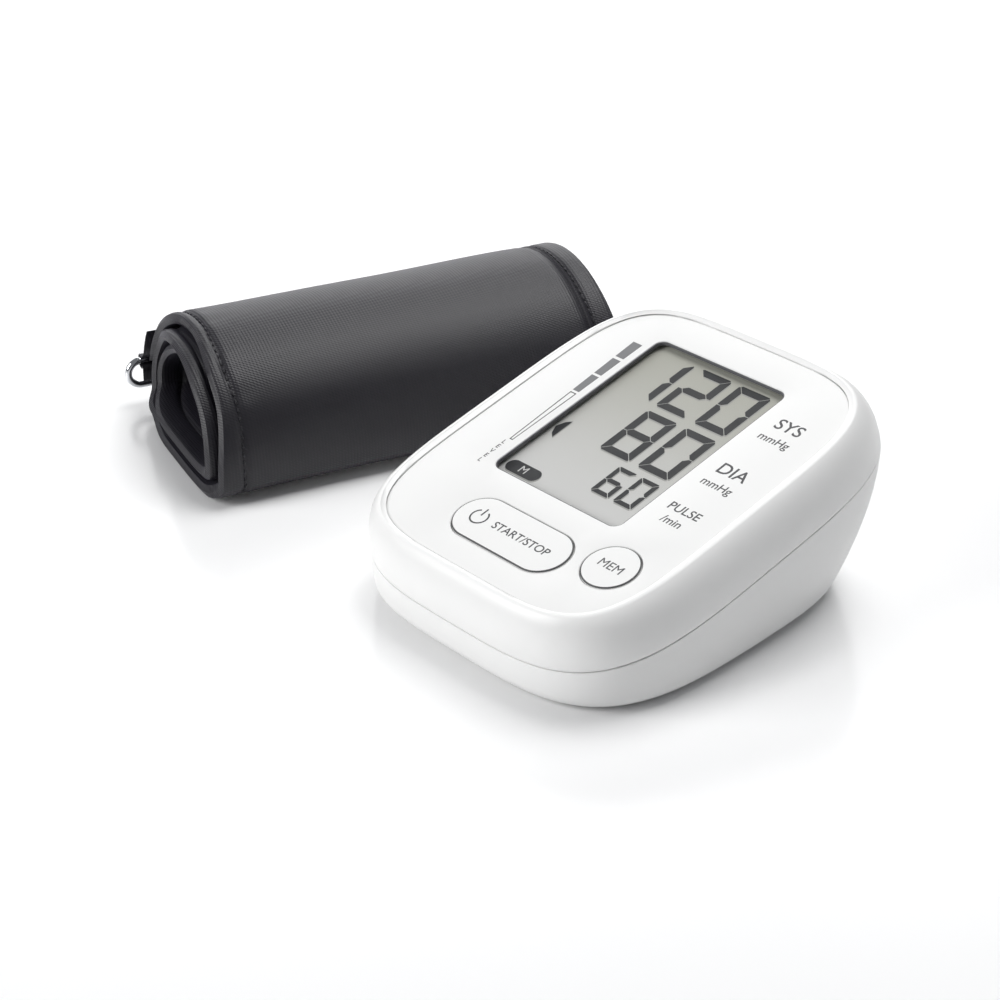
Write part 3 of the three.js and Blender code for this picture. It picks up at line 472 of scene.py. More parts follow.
def mottled(tree, shader, rgb, spots, grain, depth, source=None, contrast=0.06, rough=0.0):
    """Two close tones in soft patches, a fine grain as bump, and a little change in gloss."""
    if source is None:
        source = add(tree, "ShaderNodeTexCoord").outputs["Object"]
    patch = add(
        tree, "ShaderNodeTexNoise", {"Scale": 1 / spots, "Detail": 3}, {"Vector": source}
    )
    tone = mixed(tree, tinted(rgb, 1 - contrast), tinted(rgb, 1 + contrast), patch.outputs["Fac"])
    tree.links.new(tone, shader.inputs["Base Color"])
    fine = add(
        tree, "ShaderNodeTexNoise", {"Scale": 1 / grain, "Detail": 2}, {"Vector": source}
    )
    bump = add(
        tree,
        "ShaderNodeBump",
        {"Strength": 1, "Distance": depth},
        {"Height": fine.outputs["Fac"]},
    )
    tree.links.new(bump.outputs["Normal"], shader.inputs["Normal"])
    if rough:
        base = shader.inputs["Roughness"].default_value
        gloss = add(
            tree,
            "ShaderNodeMapRange",
            {"To Min": base - rough, "To Max": base + rough},
            {"Value": patch.outputs["Fac"]},
        )
        tree.links.new(gloss.outputs["Result"], shader.inputs["Roughness"])


def moulded_abs():
    """ABS from a finely spark-eroded mould: a soft satin white with a very fine grain."""
    material, tree, shader = begin("moulded_abs_white", Roughness=0.34, IOR=1.53)
    mottled(tree, shader, settings("colours").case, 0.03, 0.5 * MM, 0.004 * MM, contrast=0.012, rough=0.03)
    return material


def plate_film():
    """Polycarbonate film with a fine matt texture: flat, even and a shade greyer than the case."""
    material, tree, shader = begin("matt_polycarbonate_film", Roughness=0.5, IOR=1.58)
    mottled(tree, shader, settings("colours").plate, 0.02, 0.35 * MM, 0.003 * MM, contrast=0.01, rough=0.04)
    return material


def screen_ink():
    """Screen-printed ink: dark grey, slightly uneven at its grain."""
    material, tree, shader = begin("screen_print_ink", Roughness=0.55, IOR=1.5)
    mottled(tree, shader, settings("colours").print, 0.004, 0.3 * MM, 0.002 * MM, contrast=0.06)
    return material


def level_ink():
    """Mid-grey screen-print ink of the level bars."""
    material, tree, shader = begin("screen_print_ink_grey", Roughness=0.55, IOR=1.5)
    mottled(tree, shader, settings("colours").level, 0.004, 0.3 * MM, 0.002 * MM, contrast=0.05)
    return material


def painted_recess_shade():
    """Painted shade: a matt grey lining with small open pores in its grain, standing in for the shadow on
    the display window's wall.
    """
    material, tree, shader = begin("painted_recess_shade_grey", Roughness=0.9, IOR=1.45)
    # This grey is painted shade for the window's recess.
    mottled(tree, shader, linear("#66676A"), 0.003, 0.3 * MM, 0.02 * MM, contrast=0.12)
    return material


def display_glass():
    """Reflective liquid-crystal glass, silver-grey, with a painted reflection: lighter at its near end,
    greener and darker towards its far end.
    """
    tones = settings("colours")
    material, tree, shader = begin("lcd_glass_painted_reflection", Roughness=0.42, IOR=1.52)
    low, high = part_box("lcd_panel")
    source = add(tree, "ShaderNodeTexCoord").outputs["Object"]
    depth = add(tree, "ShaderNodeSeparateXYZ", links={"Vector": source})
    share = add(
        tree,
        "ShaderNodeMapRange",
        {"From Min": low[1], "From Max": high[1]},
        {"Value": depth.outputs["Y"]},
        interpolation_type="SMOOTHSTEP",
    )
    # Painted reflection: the glass is coloured lighter at its near end and darker towards its far end,
    # where the reflection on it falls off.
    near, far = (*tones.display_near_with_reflection, 1), (*tones.display_far_with_reflection, 1)
    painted_reflection_fade = mixed(tree, near, far, share.outputs["Result"])
    sparkle = add(tree, "ShaderNodeTexNoise", {"Scale": 1 / (0.3 * MM), "Detail": 1}, {"Vector": source})
    grain = add(
        tree,
        "ShaderNodeMapRange",
        {"To Min": 0.95, "To Max": 1.0},
        {"Value": sparkle.outputs["Fac"]},
    )
    glass = mixed(tree, painted_reflection_fade, grain.outputs["Result"], blend="MULTIPLY")
    tree.links.new(glass, shader.inputs["Base Color"])
    return material


def segment_ink():
    """Switched-on liquid crystal: near black, a little see-through and so not quite even."""
    material, tree, shader = begin("liquid_crystal_dark", Roughness=0.45, IOR=1.5)
    mottled(tree, shader, settings("colours").segment, 0.006, 0.3 * MM, 0.001 * MM, contrast=0.1)
    return material


def segment_shadow():
    """The soft shadow that each segment throws on the reflector behind the glass."""
    material, tree, shader = begin("liquid_crystal_shadow", Roughness=0.6, IOR=1.5)
    mottled(tree, shader, linear("#A9A9A5"), 0.006, 0.3 * MM, 0.001 * MM, contrast=0.04)
    return material


def window_acrylic():
    """Cast acrylic: clear and polished, seen by its gloss."""
    material, tree, shader = begin("clear_cast_acrylic", Roughness=0.06, IOR=1.49, Alpha=0.05)
    mottled(tree, shader, linear("#101212"), 0.02, 4 * MM, 0.002 * MM, contrast=0.02)
    return material


def plain_plastic(name, code, roughness):
    """Moulded plastic of the inner parts: even, with a fine moulded grain and slight flow marks."""
    material, tree, shader = begin(name, Roughness=roughness, IOR=1.5)
    mottled(tree, shader, linear(code), 0.006, 0.5 * MM, 0.01 * MM, contrast=0.06, rough=0.05)
    return material


def soft_rubber(name, code, roughness):
    """Soft rubber: matt, with a dusty mottle and a fine grain."""
    material, tree, shader = begin(name, Roughness=roughness, IOR=1.5)
    mottled(tree, shader, linear(code), 0.003, 0.4 * MM, 0.02 * MM, contrast=0.12, rough=0.06)
    return material


def metal(name, code, roughness, grain):
    """Bare or plated metal: its colour comes from the reflection, broken by fine working marks."""
    material, tree, shader = begin(name, Roughness=roughness, Metallic=1.0)
    mottled(tree, shader, linear(code), 0.004, grain, 0.002 * MM, contrast=0.04, rough=roughness * 0.3)
    return material


def battery_wrap():
    """Printed shrink sleeve of a dry cell: a dark body with a copper band at one end."""
    material, tree, shader = begin("printed_shrink_sleeve", Roughness=0.3, IOR=1.5)
    low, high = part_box("battery_1")
    source = add(tree, "ShaderNodeTexCoord").outputs["Object"]
    along = add(tree, "ShaderNodeSeparateXYZ", links={"Vector": source})
    band = add(
        tree,
        "ShaderNodeMapRange",
        {"From Min": low[1] + 0.7 * (high[1] - low[1]), "From Max": low[1] + 0.71 * (high[1] - low[1])},
        {"Value": along.outputs["Y"]},
    )
    dark, copper = (*linear("#23282F"), 1), (*linear("#B0764A"), 1)
    tree.links.new(mixed(tree, dark, copper, band.outputs["Result"]), shader.inputs["Base Color"])
    return material


def solder_mask():
    """Green solder mask on glass-fibre board: glossy, with copper tracks that show as paler lines."""
    material, tree, shader = begin("green_solder_mask", Roughness=0.3, IOR=1.5)
    source = add(tree, "ShaderNodeTexCoord").outputs["Object"]
    tracks = add(
        tree,
        "ShaderNodeTexBrick",
        {
            "Scale": 1,
            "Mortar Size": 0.3 * MM,
            "Brick Width": 9 * MM,
            "Row Height": 3 * MM,
            "Color1": (*linear("#1C5236"), 1),
            "Color2": (*linear("#1A4A31"), 1),
            "Mortar": (*linear("#3B7A52"), 1),
        },
        {"Vector": source},
    )
    tree.links.new(tracks.outputs["Color"], shader.inputs["Base Color"])
    bump = add(
        tree,
        "ShaderNodeBump",
        {"Strength": 1, "Distance": 0.02 * MM},
        {"Height": tracks.outputs["Fac"]},
    )
    tree.links.new(bump.outputs["Normal"], shader.inputs["Normal"])
    return material


def woven(name, rgb, pitch, roughness, sheen, coordinates="UV"):
    """Woven nylon. Real threads lie about 0.3 mm apart; they are drawn coarser, so that the twill shows."""
    material, tree, shader = begin(
        name,
        **{
            "Roughness": roughness,
            "IOR": 1.53,
            "Specular IOR Level": 0.5,
            "Sheen Weight": sheen,
            "Sheen Roughness": 0.45,
            "Sheen Tint": (*linear("#B9B6CC"), 1),
        },
    )
    source = add(tree, "ShaderNodeTexCoord").outputs[coordinates]
    slant = add(
        tree,
        "ShaderNodeMapping",
        {"Rotation": (0, 0, math.radians(32))},
        {"Vector": source},
    )
    wave_scale = math.tau / 20 / pitch
    twill = add(
        tree,
        "ShaderNodeTexWave",
        {"Scale": wave_scale, "Distortion": 0.6, "Detail": 1, "Detail Scale": 2},
        {"Vector": slant.outputs["Vector"]},
    )
    weft = add(
        tree,
        "ShaderNodeTexWave",
        {"Scale": wave_scale * 0.8, "Distortion": 0.3},
        {"Vector": source},
        bands_direction="Y",
    )
    threads = add(
        tree,
        "ShaderNodeMath",
        links={0: twill.outputs["Fac"], 1: weft.outputs["Fac"]},
        operation="ADD",
    )
    cloud = add(tree, "ShaderNodeTexNoise", {"Scale": 1 / 0.02, "Detail": 4}, {"Vector": source})
    tone = mixed(tree, tinted(rgb, 0.88), tinted(rgb, 1.12), cloud.outputs["Fac"])
    shade = add(
        tree,
        "ShaderNodeMapRange",
        {"From Max": 2.0, "To Min": 0.8, "To Max": 1.15},
        {"Value": threads.outputs["Value"]},
    )
    cloth = mixed(tree, tone, shade.outputs["Result"], blend="MULTIPLY")
    tree.links.new(cloth, shader.inputs["Base Color"])
    bump = add(
        tree,
        "ShaderNodeBump",
        {"Strength": 0.8, "Distance": 0.06 * MM},
        {"Height": threads.outputs["Value"]},
    )
    tree.links.new(bump.outputs["Normal"], shader.inputs["Normal"])
    return material


def floor_acrylic():
    """A polished white table: pale, with a faint mirror image close to what stands on it."""
    material, tree, shader = begin("polished_white_table", Roughness=0.16, IOR=1.45)
    mottled(tree, shader, settings("colours").floor, 0.4, 0.05, 0.0005 * MM, contrast=0.004)
    return material


MAKERS = {
    "case_white": moulded_abs,
    "plate_white": plate_film,
    "screen_ink": screen_ink,
    "level_ink": level_ink,
    "recess_shade_band": painted_recess_shade,
    "lcd_glass": display_glass,
    "segment": segment_ink,
    "segment_shadow": segment_shadow,
    "window_clear": window_acrylic,
    "light_plastic": lambda: plain_plastic("moulded_abs_pale_grey", "#DCDCD9", 0.5),
    "dark_plastic": lambda: plain_plastic("moulded_nylon_black", "#2A2B2D", 0.45),
    "circuit_board": solder_mask,
    "steel": lambda: metal("zinc_plated_steel", "#B9BCC0", 0.32, 0.4 * MM),
    "brass": lambda: metal("turned_brass", "#B89A5A", 0.3, 0.5 * MM),
    "chrome": lambda: metal("bright_chrome_plate", "#E3E5E8", 0.07, 2 * MM),
    "rubber": lambda: soft_rubber("moulded_rubber_grey", "#7A7C7E", 0.8),
    "silicone": lambda: soft_rubber("extruded_silicone", "#D4D8D4", 0.4),
    "battery_wrap": battery_wrap,
    "cuff_nylon": lambda: woven("twill_nylon", settings("colours").cloth, 0.9 * MM, 0.45, 0.1),
    "cuff_tape": lambda: woven("nylon_tape", settings("colours").tape, 0.8 * MM, 0.6, 0.2, "Object"),
    "thread": lambda: woven("polyester_thread", settings("colours").tape, 0.4 * MM, 0.5, 0.3, "Object"),
    "bladder_rubber": lambda: soft_rubber("tpu_film_black", "#3F3F42", 0.5),
    "floor": floor_acrylic,
}
made_materials = {}


def finish(name):
    """The material of one name, made the first time that it is asked for."""
    if name not in made_materials:
        made_materials[name] = MAKERS[name]()
    return made_materials[name]


# ---- Case ----
SPOTS = ("front_left", "front_right", "rear_left", "rear_right")


def shoulder(height):
    """Share of the way in from the parting line's outline to the rim."""
    case = settings("case")
    rise = case.parting_depth + case.rim_rise
    lift = min(max(height + case.parting_depth, 0), rise) / rise
    angle = math.asin(lift * math.sin(SHOULDER_ARC))
    return (1 - math.cos(angle)) / (1 - math.cos(SHOULDER_ARC))


def upper_ring(height, inset):
    """One outline of the upper shell, in the face's frame."""
    case = settings("case")
    share = shoulder(height)
    half_x = case.width / 2 - share * case.shoulder_width - inset
    half_y = case.depth / 2 - share * case.shoulder_depth - inset
    power = CASE_POWER + share * (RIM_POWER - CASE_POWER)
    return squared(half_x, half_y, power, height)


def lower_ring(share, inset, floor, drop=0.0):
    """One outline of the lower shell, in the monitor's frame. Share 0 is the lip and 1 the underside."""
    case = settings("case")
    lift = face_matrix().translation.z
    tilt = case.tilt
    fillet = max(case.bottom_fillet - inset, 0.5 * MM)
    below = case.parting_depth + GAP
    along = math.cos(tilt) * case.depth / 2
    ring = []
    for point in squared(1, 1, CASE_POWER):
        top = lift + point.y * math.sin(tilt) * case.depth / 2 - below * math.cos(tilt) - drop
        fall = top - UNDERSIDE
        straight = top - floor - fillet
        turn = max(share * 2 - 1, 0) * math.pi / 2
        down = min(share * 2, 1) * straight + math.sin(turn) * fillet
        undercut = UNDERCUT_RATE * fall**2 * (down / fall) ** UNDERCUT_POWER
        draw = inset + undercut + (1 - math.cos(turn)) * fillet
        x = point.x * (case.width / 2 - draw)
        y = point.y * (along - draw) + case.parting_depth * math.sin(tilt)
        ring.append(Vector((x, y, top - down)))
    return ring


def make_upper_shell():
    """The upper shell: shoulder, rim, plate seat, ledge and inner wall in one closed skin."""
    case = settings("case")
    face = settings("face")
    lip = case.lip_round
    low = -case.parting_depth
    crest = case.rim_rise
    rings = [upper_ring(low, WALL), upper_ring(low, lip)]
    for step in (30, 60, 90):
        angle = math.radians(step)
        height = low + lip * (1 - math.cos(angle))
        rings.append(upper_ring(height, lip * (1 - math.sin(angle))))
    steps = 14
    top = crest - 0.45 * MM
    for i in range(1, steps + 1):
        rings.append(upper_ring(low + lip + (top - low - lip) * i / steps, 0))
    for height, inset in ((0.22, 0.05), (0.07, 0.2), (0, 0.42), (0.03, 0.62), (0.14, 0.82)):
        ring = upper_ring(crest - height * MM, inset * MM)
        rings.append(ring)
    end = case.rim_chamfer - 0.25 * MM
    rings.append(upper_ring(crest, end))
    for point in rings[-1]:
        point.z = 0.42 * MM
    seat_x = face.plate_width / 2 + GAP
    seat_y = face.plate_depth / 2 + GAP
    ledge_top = -face.plate_thickness - GAP
    ledge_under = ledge_top - LEDGE_THICKNESS
    rings.append(squared(seat_x, seat_y, PLATE_POWER, 0.3 * MM))
    rings.append(squared(seat_x, seat_y, PLATE_POWER, ledge_top))
    hole_x = face.plate_width / 2 - LEDGE
    hole_y = face.plate_depth / 2 - LEDGE
    rings.append(squared(hole_x, hole_y, PLATE_POWER, ledge_top))
    rings.append(squared(hole_x, hole_y, PLATE_POWER, ledge_under))
    for i in range(5):
        rings.append(upper_ring(ledge_under + (low - ledge_under) * i / 4, WALL))
    bm = bmesh.new()
    loft(bm, rings, capped=False)
    made = as_object(bm, "case_upper_shell", [finish("case_white")], face_matrix())
    return attach(made, "monitor", "case_white", "top_case")


def make_lower_shell():
    """The lower shell: a bowl with its battery well, screw posts, foot pockets and air-socket hole."""
    case = settings("case")
    lip = case.lip_round
    floor = UNDERSIDE + WALL
    rings = []
    for i in range(9):
        rings.append(lower_ring(1 - i / 16, 0, UNDERSIDE))
    for i in range(1, 13):
        rings.append(lower_ring(0.5 - 0.49 * i / 12, 0, UNDERSIDE))
    for step in (0, 30, 60, 90):
        angle = math.radians(step)
        rings.append(lower_ring(0, lip * (1 - math.cos(angle)), UNDERSIDE, lip * (1 - math.sin(angle))))
    for share in (0, 0.15, 0.3, 0.45, 0.55, 0.7, 0.85, 1):
        rings.append(lower_ring(share, WALL, floor))
    bm = bmesh.new()
    loft(bm, rings)
    place = monitor_matrix()
    shell = as_object(bm, "case_lower_shell", [finish("case_white")], place)

    cover_low, cover_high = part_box("battery_cover")
    cell_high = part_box("battery_1")[1]
    roof = cell_high[2] + CELL_ROOM
    low = Vector((cover_low[0] - GAP, cover_low[1] - GAP, UNDERSIDE - MM))
    high = Vector((cover_high[0] + GAP, cover_high[1] + GAP, roof))
    bm = bmesh.new()
    outside = Vector((WELL_WALL, WELL_WALL, 0))
    block(bm, (*(low - outside).xy, floor - MM), (*(high + outside).xy, roof + WELL_WALL))
    well = as_object(bm, "well_walls", [])
    shelves = {spot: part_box("case_screw_" + spot)[1][2] - SCREW_LENGTH for spot in SPOTS}
    for spot, shelf in shelves.items():
        centre = middle("case_screw_" + spot)
        bm = bmesh.new()
        disc(bm, POST_RADIUS, floor - MM, shelf + WALL, centre.x, centre.y)
        post = as_object(bm, "post", [])
        bm = bmesh.new()
        loft(bm, [lower_ring(1 - i / 16, MM, UNDERSIDE) for i in range(17)])
        inside = as_object(bm, "inside", [], place)
        combined(post, inside, "INTERSECT")
        combined(shell, post, "UNION")
    combined(shell, well, "UNION")
    bm = bmesh.new()
    block(bm, low, high)
    for spot, shelf in shelves.items():
        centre = middle("case_screw_" + spot)
        disc(bm, HEAD_ROOM, UNDERSIDE - MM, shelf, centre.x, centre.y)
        foot = middle("foot_" + spot)
        disc(bm, FOOT_ROOM, UNDERSIDE - MM, UNDERSIDE + FOOT_POCKET, foot.x, foot.y)
    tools = as_object(bm, "cuts", [])
    combined(shell, tools, "DIFFERENCE")
    socket = middle("air_socket")
    bm = bmesh.new()
    verts = disc(bm, SOCKET_ROOM, -8 * MM, 8 * MM)
    bmesh.ops.rotate(bm, cent=(0, 0, 0), matrix=Matrix.Rotation(math.pi / 2, 3, "Y"), verts=verts)
    bmesh.ops.translate(bm, verts=verts, vec=socket)
    combined(shell, as_object(bm, "socket_hole", []), "DIFFERENCE")
    shell.data.shade_smooth()
    shell.data.set_sharp_from_angle(angle=SHARP)
    return attach(shell, "monitor", "case_white", "bottom_case")


# ---- Face ----


def obround(half_x, half_y, height=0.0, steps=28):
    """A bar with half-round ends."""
    return rounded(half_x, half_y, half_y - 0.001 * MM, height, steps // 2)


def start_ring(grow, height):
    """One outline of the start button, in its own middle's frame."""
    face = settings("face")
    return obround(face.start_length / 2 + grow, face.start_width / 2 + grow, height)


def memory_ring(grow, height):
    """One outline of the memory button, in its own middle's frame."""
    radius = settings("face").memory_radius + grow
    return squared(radius, radius, 2, height, 96)


BUTTONS = (("start_button", start_ring), ("memory_button", memory_ring))


def make_face_plate():
    """The face plate, with a small round on every edge."""
    face = settings("face")
    window = in_face("lcd_window")
    soft = face.edge_round
    thick = face.plate_thickness

    def plate_edge(grow, height):
        return squared(face.plate_width / 2 - grow, face.plate_depth / 2 - grow, PLATE_POWER, height)

    def window_edge(grow, height):
        ring = rounded(
            face.window_width / 2 + grow, face.window_depth / 2 + grow, face.window_corner + grow, height
        )
        return [point + Vector((window.x, window.y, 0)) for point in ring]

    def button_edge(node, ring_of):
        spot = in_face(node)
        return lambda grow, height: [
            point + Vector((spot.x, spot.y, 0)) for point in ring_of(GAP + grow, height)
        ]

    edges = [plate_edge, window_edge] + [button_edge(node, ring_of) for node, ring_of in BUTTONS]
    bm = bmesh.new()
    tops, bottoms = [], []
    for edge_of in edges:
        rings = [edge_of(0, -thick), edge_of(0, -soft)]
        rings += [
            edge_of(soft * (1 - math.cos(a)), -soft * (1 - math.sin(a)))
            for a in (math.radians(30), math.radians(60), math.radians(90))
        ]
        made = bmesh.ops.create_circle(bm, segments=len(rings[0]), radius=1)
        ring = made["verts"]
        for vert, point in zip(ring, rings[0]):
            vert.co = point
        bottoms += ring_edges(bm, ring)
        for points in rings[1:]:
            ring = next_ring(bm, ring, points)
        tops += ring_edges(bm, ring)
    for loops in (tops, bottoms):
        bmesh.ops.triangle_fill(bm, use_beauty=True, use_dissolve=False, edges=loops, normal=(0, 0, 1))
    made = as_object(bm, "face_plate_film", [finish("plate_white")], face_matrix())
    return attach(made, "monitor", "plate_white", "face_plate")


def make_buttons():
    """The two button caps: rounded, a little crowned, outlined, with flange and stem under the plate."""
    face = settings("face")
    flange_top = -face.plate_thickness - GAP
    flange_bottom = flange_top - FLANGE_THICKNESS
    for node, ring_of in BUTTONS:
        spot = in_face(node)
        shift = Vector((spot.x, spot.y, 0))
        profile = [
            (1 * MM, flange_bottom, 0),
            (1 * MM, flange_top, 0),
            (0, flange_top, 0),
            (0, -0.05 * MM, 0),
            (-0.07 * MM, 0.15 * MM, 1),
            (-0.2 * MM, 0.26 * MM, 1),
            (-face.outline, 0.3 * MM, 1),
            (-face.outline - 0.5 * MM, 0.32 * MM, 0),
            (-3 * MM, 0.38 * MM, 0),
            (-6 * MM, 0.41 * MM, 0),
        ]
        rings = [[point + shift for point in ring_of(grow, height)] for grow, height, ink in profile]
        bm = bmesh.new()
        loft(bm, rings, material=[ink for grow, height, ink in profile[1:]])
        disc(bm, STEM_RADIUS, flange_bottom - 1.3 * MM, flange_bottom + 0.3 * MM, spot.x, spot.y)
        made = as_object(
            bm, node + "_cap", [finish("plate_white"), finish("screen_ink")], face_matrix()
        )
        attach(made, node, "plate_white", node)
    return made


def make_face_print():
    """Words, bars and marks on the face and on the buttons."""
    place = face_matrix()
    ink = finish("screen_ink")

    def word(words, x, y, size, height, name):
        spot = place @ Matrix.Translation((x * MM, y * MM, height * MM))
        return lettering(words, size * MM, spot, name, ink)

    labels = []
    for words, size, y, unit, below in (
        ("SYS", 6.9, 38.2, "mmHg", 31.0),
        ("DIA", 6.9, 12.6, "mmHg", 5.4),
        ("PULSE", 4.7, -8.6, "/min", -14.2),
    ):
        labels.append(word(words, 37.0, y, size, 0.02, "label"))
        labels.append(word(unit, 37.0, below, 4.4, 0.02, "label"))
    for number, letter in enumerate("LEVEL"):
        labels.append(word(letter, -34.9, -15.6 - 2.6 * number, 2.6, 0.02, "label"))
    made = joined(labels, "face_labels")
    attach(made, "monitor", "plate_white")

    bm = bmesh.new()
    icon_x, icon_y, radius = -13.8 * MM, -45.6 * MM, 3.0 * MM
    width = 0.28 * MM
    opening = math.radians(32)
    rings = []
    for i in range(37):
        angle = math.pi / 2 + opening + (math.tau - 2 * opening) * i / 36
        out = Vector((math.cos(angle), math.sin(angle), 0))
        centre = Vector((icon_x, icon_y, 0.43 * MM))
        rings.append(
            [
                centre + out * (radius + side * width) + Vector((0, 0, lift * FILM))
                for side, lift in ((-1, 0), (1, 0), (1, 1), (-1, 1))
            ]
        )
    loft(bm, rings)
    stamp(
        bm,
        [
            (icon_x - width, icon_y + 0.6 * MM),
            (icon_x + width, icon_y + 0.6 * MM),
            (icon_x + width, icon_y + 3.9 * MM),
            (icon_x - width, icon_y + 3.9 * MM),
        ],
        0.43 * MM,
        0.43 * MM + FILM,
    )
    icon = as_object(bm, "power_mark", [ink], place)
    words = word("START/STOP", 4.6, -45.7, 4.3, 0.43, "start_words")
    made = joined([icon, words], "start_button_print")
    attach(made, "start_button", "plate_white")
    memory = in_face("memory_button")
    made = word("MEM", memory.x / MM, memory.y / MM, 4.6, 0.43, "memory_button_print")
    attach(made, "memory_button", "plate_white")

    bm = bmesh.new()
    for low, high in ((36.3, 45.2), (26.0, 35.1), (15.8, 25.0)):
        left = [-36.8 + 2.4 * (45.2 - y) / 58.6 for y in (low, high)]
        corners = ((left[0], low), (-32.8, low), (-32.8, high), (left[1], high))
        stamp(bm, [(x * MM, y * MM) for x, y in corners], 0.01 * MM, 0.01 * MM + FILM)
    made = as_object(bm, "level_bars", [finish("level_ink")], place)
    attach(made, "monitor", "plate_white")
    bm = bmesh.new()
    outer = ((-35.5, 14.8), (-34.6, -13.5), (-33.2, -13.5), (-32.8, 14.8))
    inner = ((-35.1, 14.4), (-34.25, -13.1), (-33.5, -13.1), (-33.2, 14.4))
    rings = []
    for corners, height in ((outer, 0.0), (inner, 0.0), (inner, 1.0), (outer, 1.0), (outer, 0.0)):
        rings.append([Vector((x * MM, y * MM, 0.01 * MM + height * FILM)) for x, y in corners])
    loft(bm, rings, capped=False)
    made = as_object(bm, "level_outline", [ink], place)
    return attach(made, "monitor", "plate_white")


MARK_SHIFT = Vector((-2.76, 1.88))  # the marks lie deep behind the face plate
DIGIT_PARTS = {
    "0": "abcdef",
    "1": "bc",
    "2": "abged",
    "6": "acdefg",
    "8": "abcdefg",
}


def segment_shapes(width, height, stroke, gap):
    """The seven mitred bars of a digit, as corner lists in its own box."""
    w, h, t, g = width, height, stroke, gap / 2
    m = h / 2
    c = 0.3 * t
    top = [
        (g + c, h),
        (w - g - c, h),
        (w - g - c / 2, h - c / 2),
        (w - t - g, h - t),
        (t + g, h - t),
        (g + c / 2, h - c / 2),
    ]
    side = [
        (0, h - g - c),
        (c / 2, h - g - c / 2),
        (t, h - t - g),
        (t, m + t / 2 + g),
        (t / 2, m + g),
        (0, m + g),
    ]
    bar = [
        (t / 2 + g, m),
        (t + g, m + t / 2),
        (w - t - g, m + t / 2),
        (w - t / 2 - g, m),
        (w - t - g, m - t / 2),
        (t + g, m - t / 2),
    ]
    return {
        "a": top,
        "b": [(w - x, y) for x, y in side],
        "c": [(w - x, h - y) for x, y in side],
        "d": [(x, h - y) for x, y in top],
        "e": [(x, h - y) for x, y in side],
        "f": side,
        "g": bar,
    }


def display_shapes():
    """Every dark shape on the display, as corner lists in millimetres in the face's frame."""
    shapes = []
    rows = (
        ("120", 24.6, 22.3, 13.3, 2.9, (-17.4 - 5.6, -6.9, 9.7)),
        ("80", -0.8, 22.4, 13.3, 2.9, (-6.9, 9.7)),
        ("60", -17.1, 13.4, 7.8, 1.75, (5.5, 15.2)),
    )
    for digits, base, tall, wide, stroke, starts in rows:
        bars = segment_shapes(wide, tall, stroke, 0.34)
        for digit, x in zip(digits, starts):
            for letter in DIGIT_PARTS[digit]:
                shapes.append([(x + px, base + py) for px, py in bars[letter]])
    shapes.append([(-23.4, 4.1), (-23.4, -5.1), (-25.2, -3.6), (-26.6, -0.5), (-25.2, 2.6)])
    return [[(x + MARK_SHIFT.x, y + MARK_SHIFT.y) for x, y in corners] for corners in shapes]


def make_display():
    """The display's dark segments, their soft shadows, the memory mark, and a grey band of painted shade
    round the window's wall.
    """
    face = settings("face")
    place = face_matrix()
    panel = in_face("lcd_panel").z + 1.2 * MM
    shade_shift = Vector((0.45, -0.55))
    mark_x, mark_y = -19 + MARK_SHIFT.x, -22.05 + MARK_SHIFT.y
    pill = [(p.x + mark_x, p.y + mark_y) for p in obround(7.2, 2.65)]
    for name, ink, lift, shift in (
        ("display_segments", "segment", 0.03, Vector((0, 0))),
        ("display_shadows", "segment_shadow", 0.005, shade_shift),
    ):
        bm = bmesh.new()
        for corners in display_shapes() + [pill]:
            points = [((x + shift.x) * MM, (y + shift.y) * MM) for x, y in corners]
            stamp(bm, points, panel + lift * MM, panel + lift * MM + FILM)
        made = as_object(bm, name, [finish(ink)], place)
        attach(made, "monitor", "lcd_glass")
    spot = place @ Matrix.Translation((mark_x * MM, mark_y * MM, panel + 0.07 * MM))
    made = lettering("M", 4.4 * MM, spot, "memory_mark", finish("lcd_glass"))
    attach(made, "monitor", "lcd_glass")

    # Painted shade: a grey band lines the window's wall where the recess throws its shadow.
    window = in_face("lcd_window")
    bm = bmesh.new()
    rings = []
    low, high = -face.plate_thickness - 0.2 * MM, -0.3 * MM
    for grow, height in ((0, high), (-face.recess_shade_band, high), (-face.recess_shade_band, low), (0, low), (0, high)):
        grow -= 0.02 * MM
        ring = rounded(
            face.window_width / 2 + grow, face.window_depth / 2 + grow, face.window_corner + grow, height
        )
        rings.append([point + Vector((window.x, window.y, 0)) for point in ring])
    loft(bm, rings, capped=False)
    made = as_object(bm, "window_recess_shade", [finish("recess_shade_band")], place)
    return attach(made, "monitor", "dark_plastic")


# ---- Cuff ----

LOW_SHARE = 0.2
LOW_POWER = 3
ROLL_START = 165.0
ROLL_TURNS = 2.4
RING_HALF_HEIGHT = 4.7 * MM
RING_REACH = 5.2 * MM
RING_STANDOFF = 3.75 * MM
RING_LEVEL = 12 * MM


SEAM_DEPTH = 0.42  # share of the pad that a seam presses away
HEM_ROWS = 2.8 * MM  # between the two seams of the far hem
BROAD_EDGE = 20 * MM  # the pad's slow waves die out this near its edges
INNER_PUCKER = 0.3

# Turns from the sleeve's outer end, and how far its near edge has slid out there, in millimetres.
SLIDE = (
    (0.0, -2.5),
    (0.21, -4.5),
    (0.33, -2.0),
    (0.46, 2.0),
    (0.58, 5.0),
    (0.71, 5.0),
    (0.83, 2.0),
    (0.96, -1.5),
    (1.05, -2.0),
    (1.21, 1.5),
    (1.33, 3.0),
    (1.46, 4.5),
    (1.71, 4.5),
    (1.96, -2.0),
    (2.21, -4.0),
    (2.4, -4.0),
)


def cuff_matrix():
    """The cuff's own frame: Y along the roll, X towards the monitor, on the table."""
    cuff = settings("cuff")
    x = cuff.width / 2 + RING_STANDOFF
    return (
        Matrix.Translation(middle("d_ring"))
        @ Matrix.Rotation(cuff.turn, 4, "Z")
        @ Matrix.Translation((x, 0, -RING_LEVEL))
    )


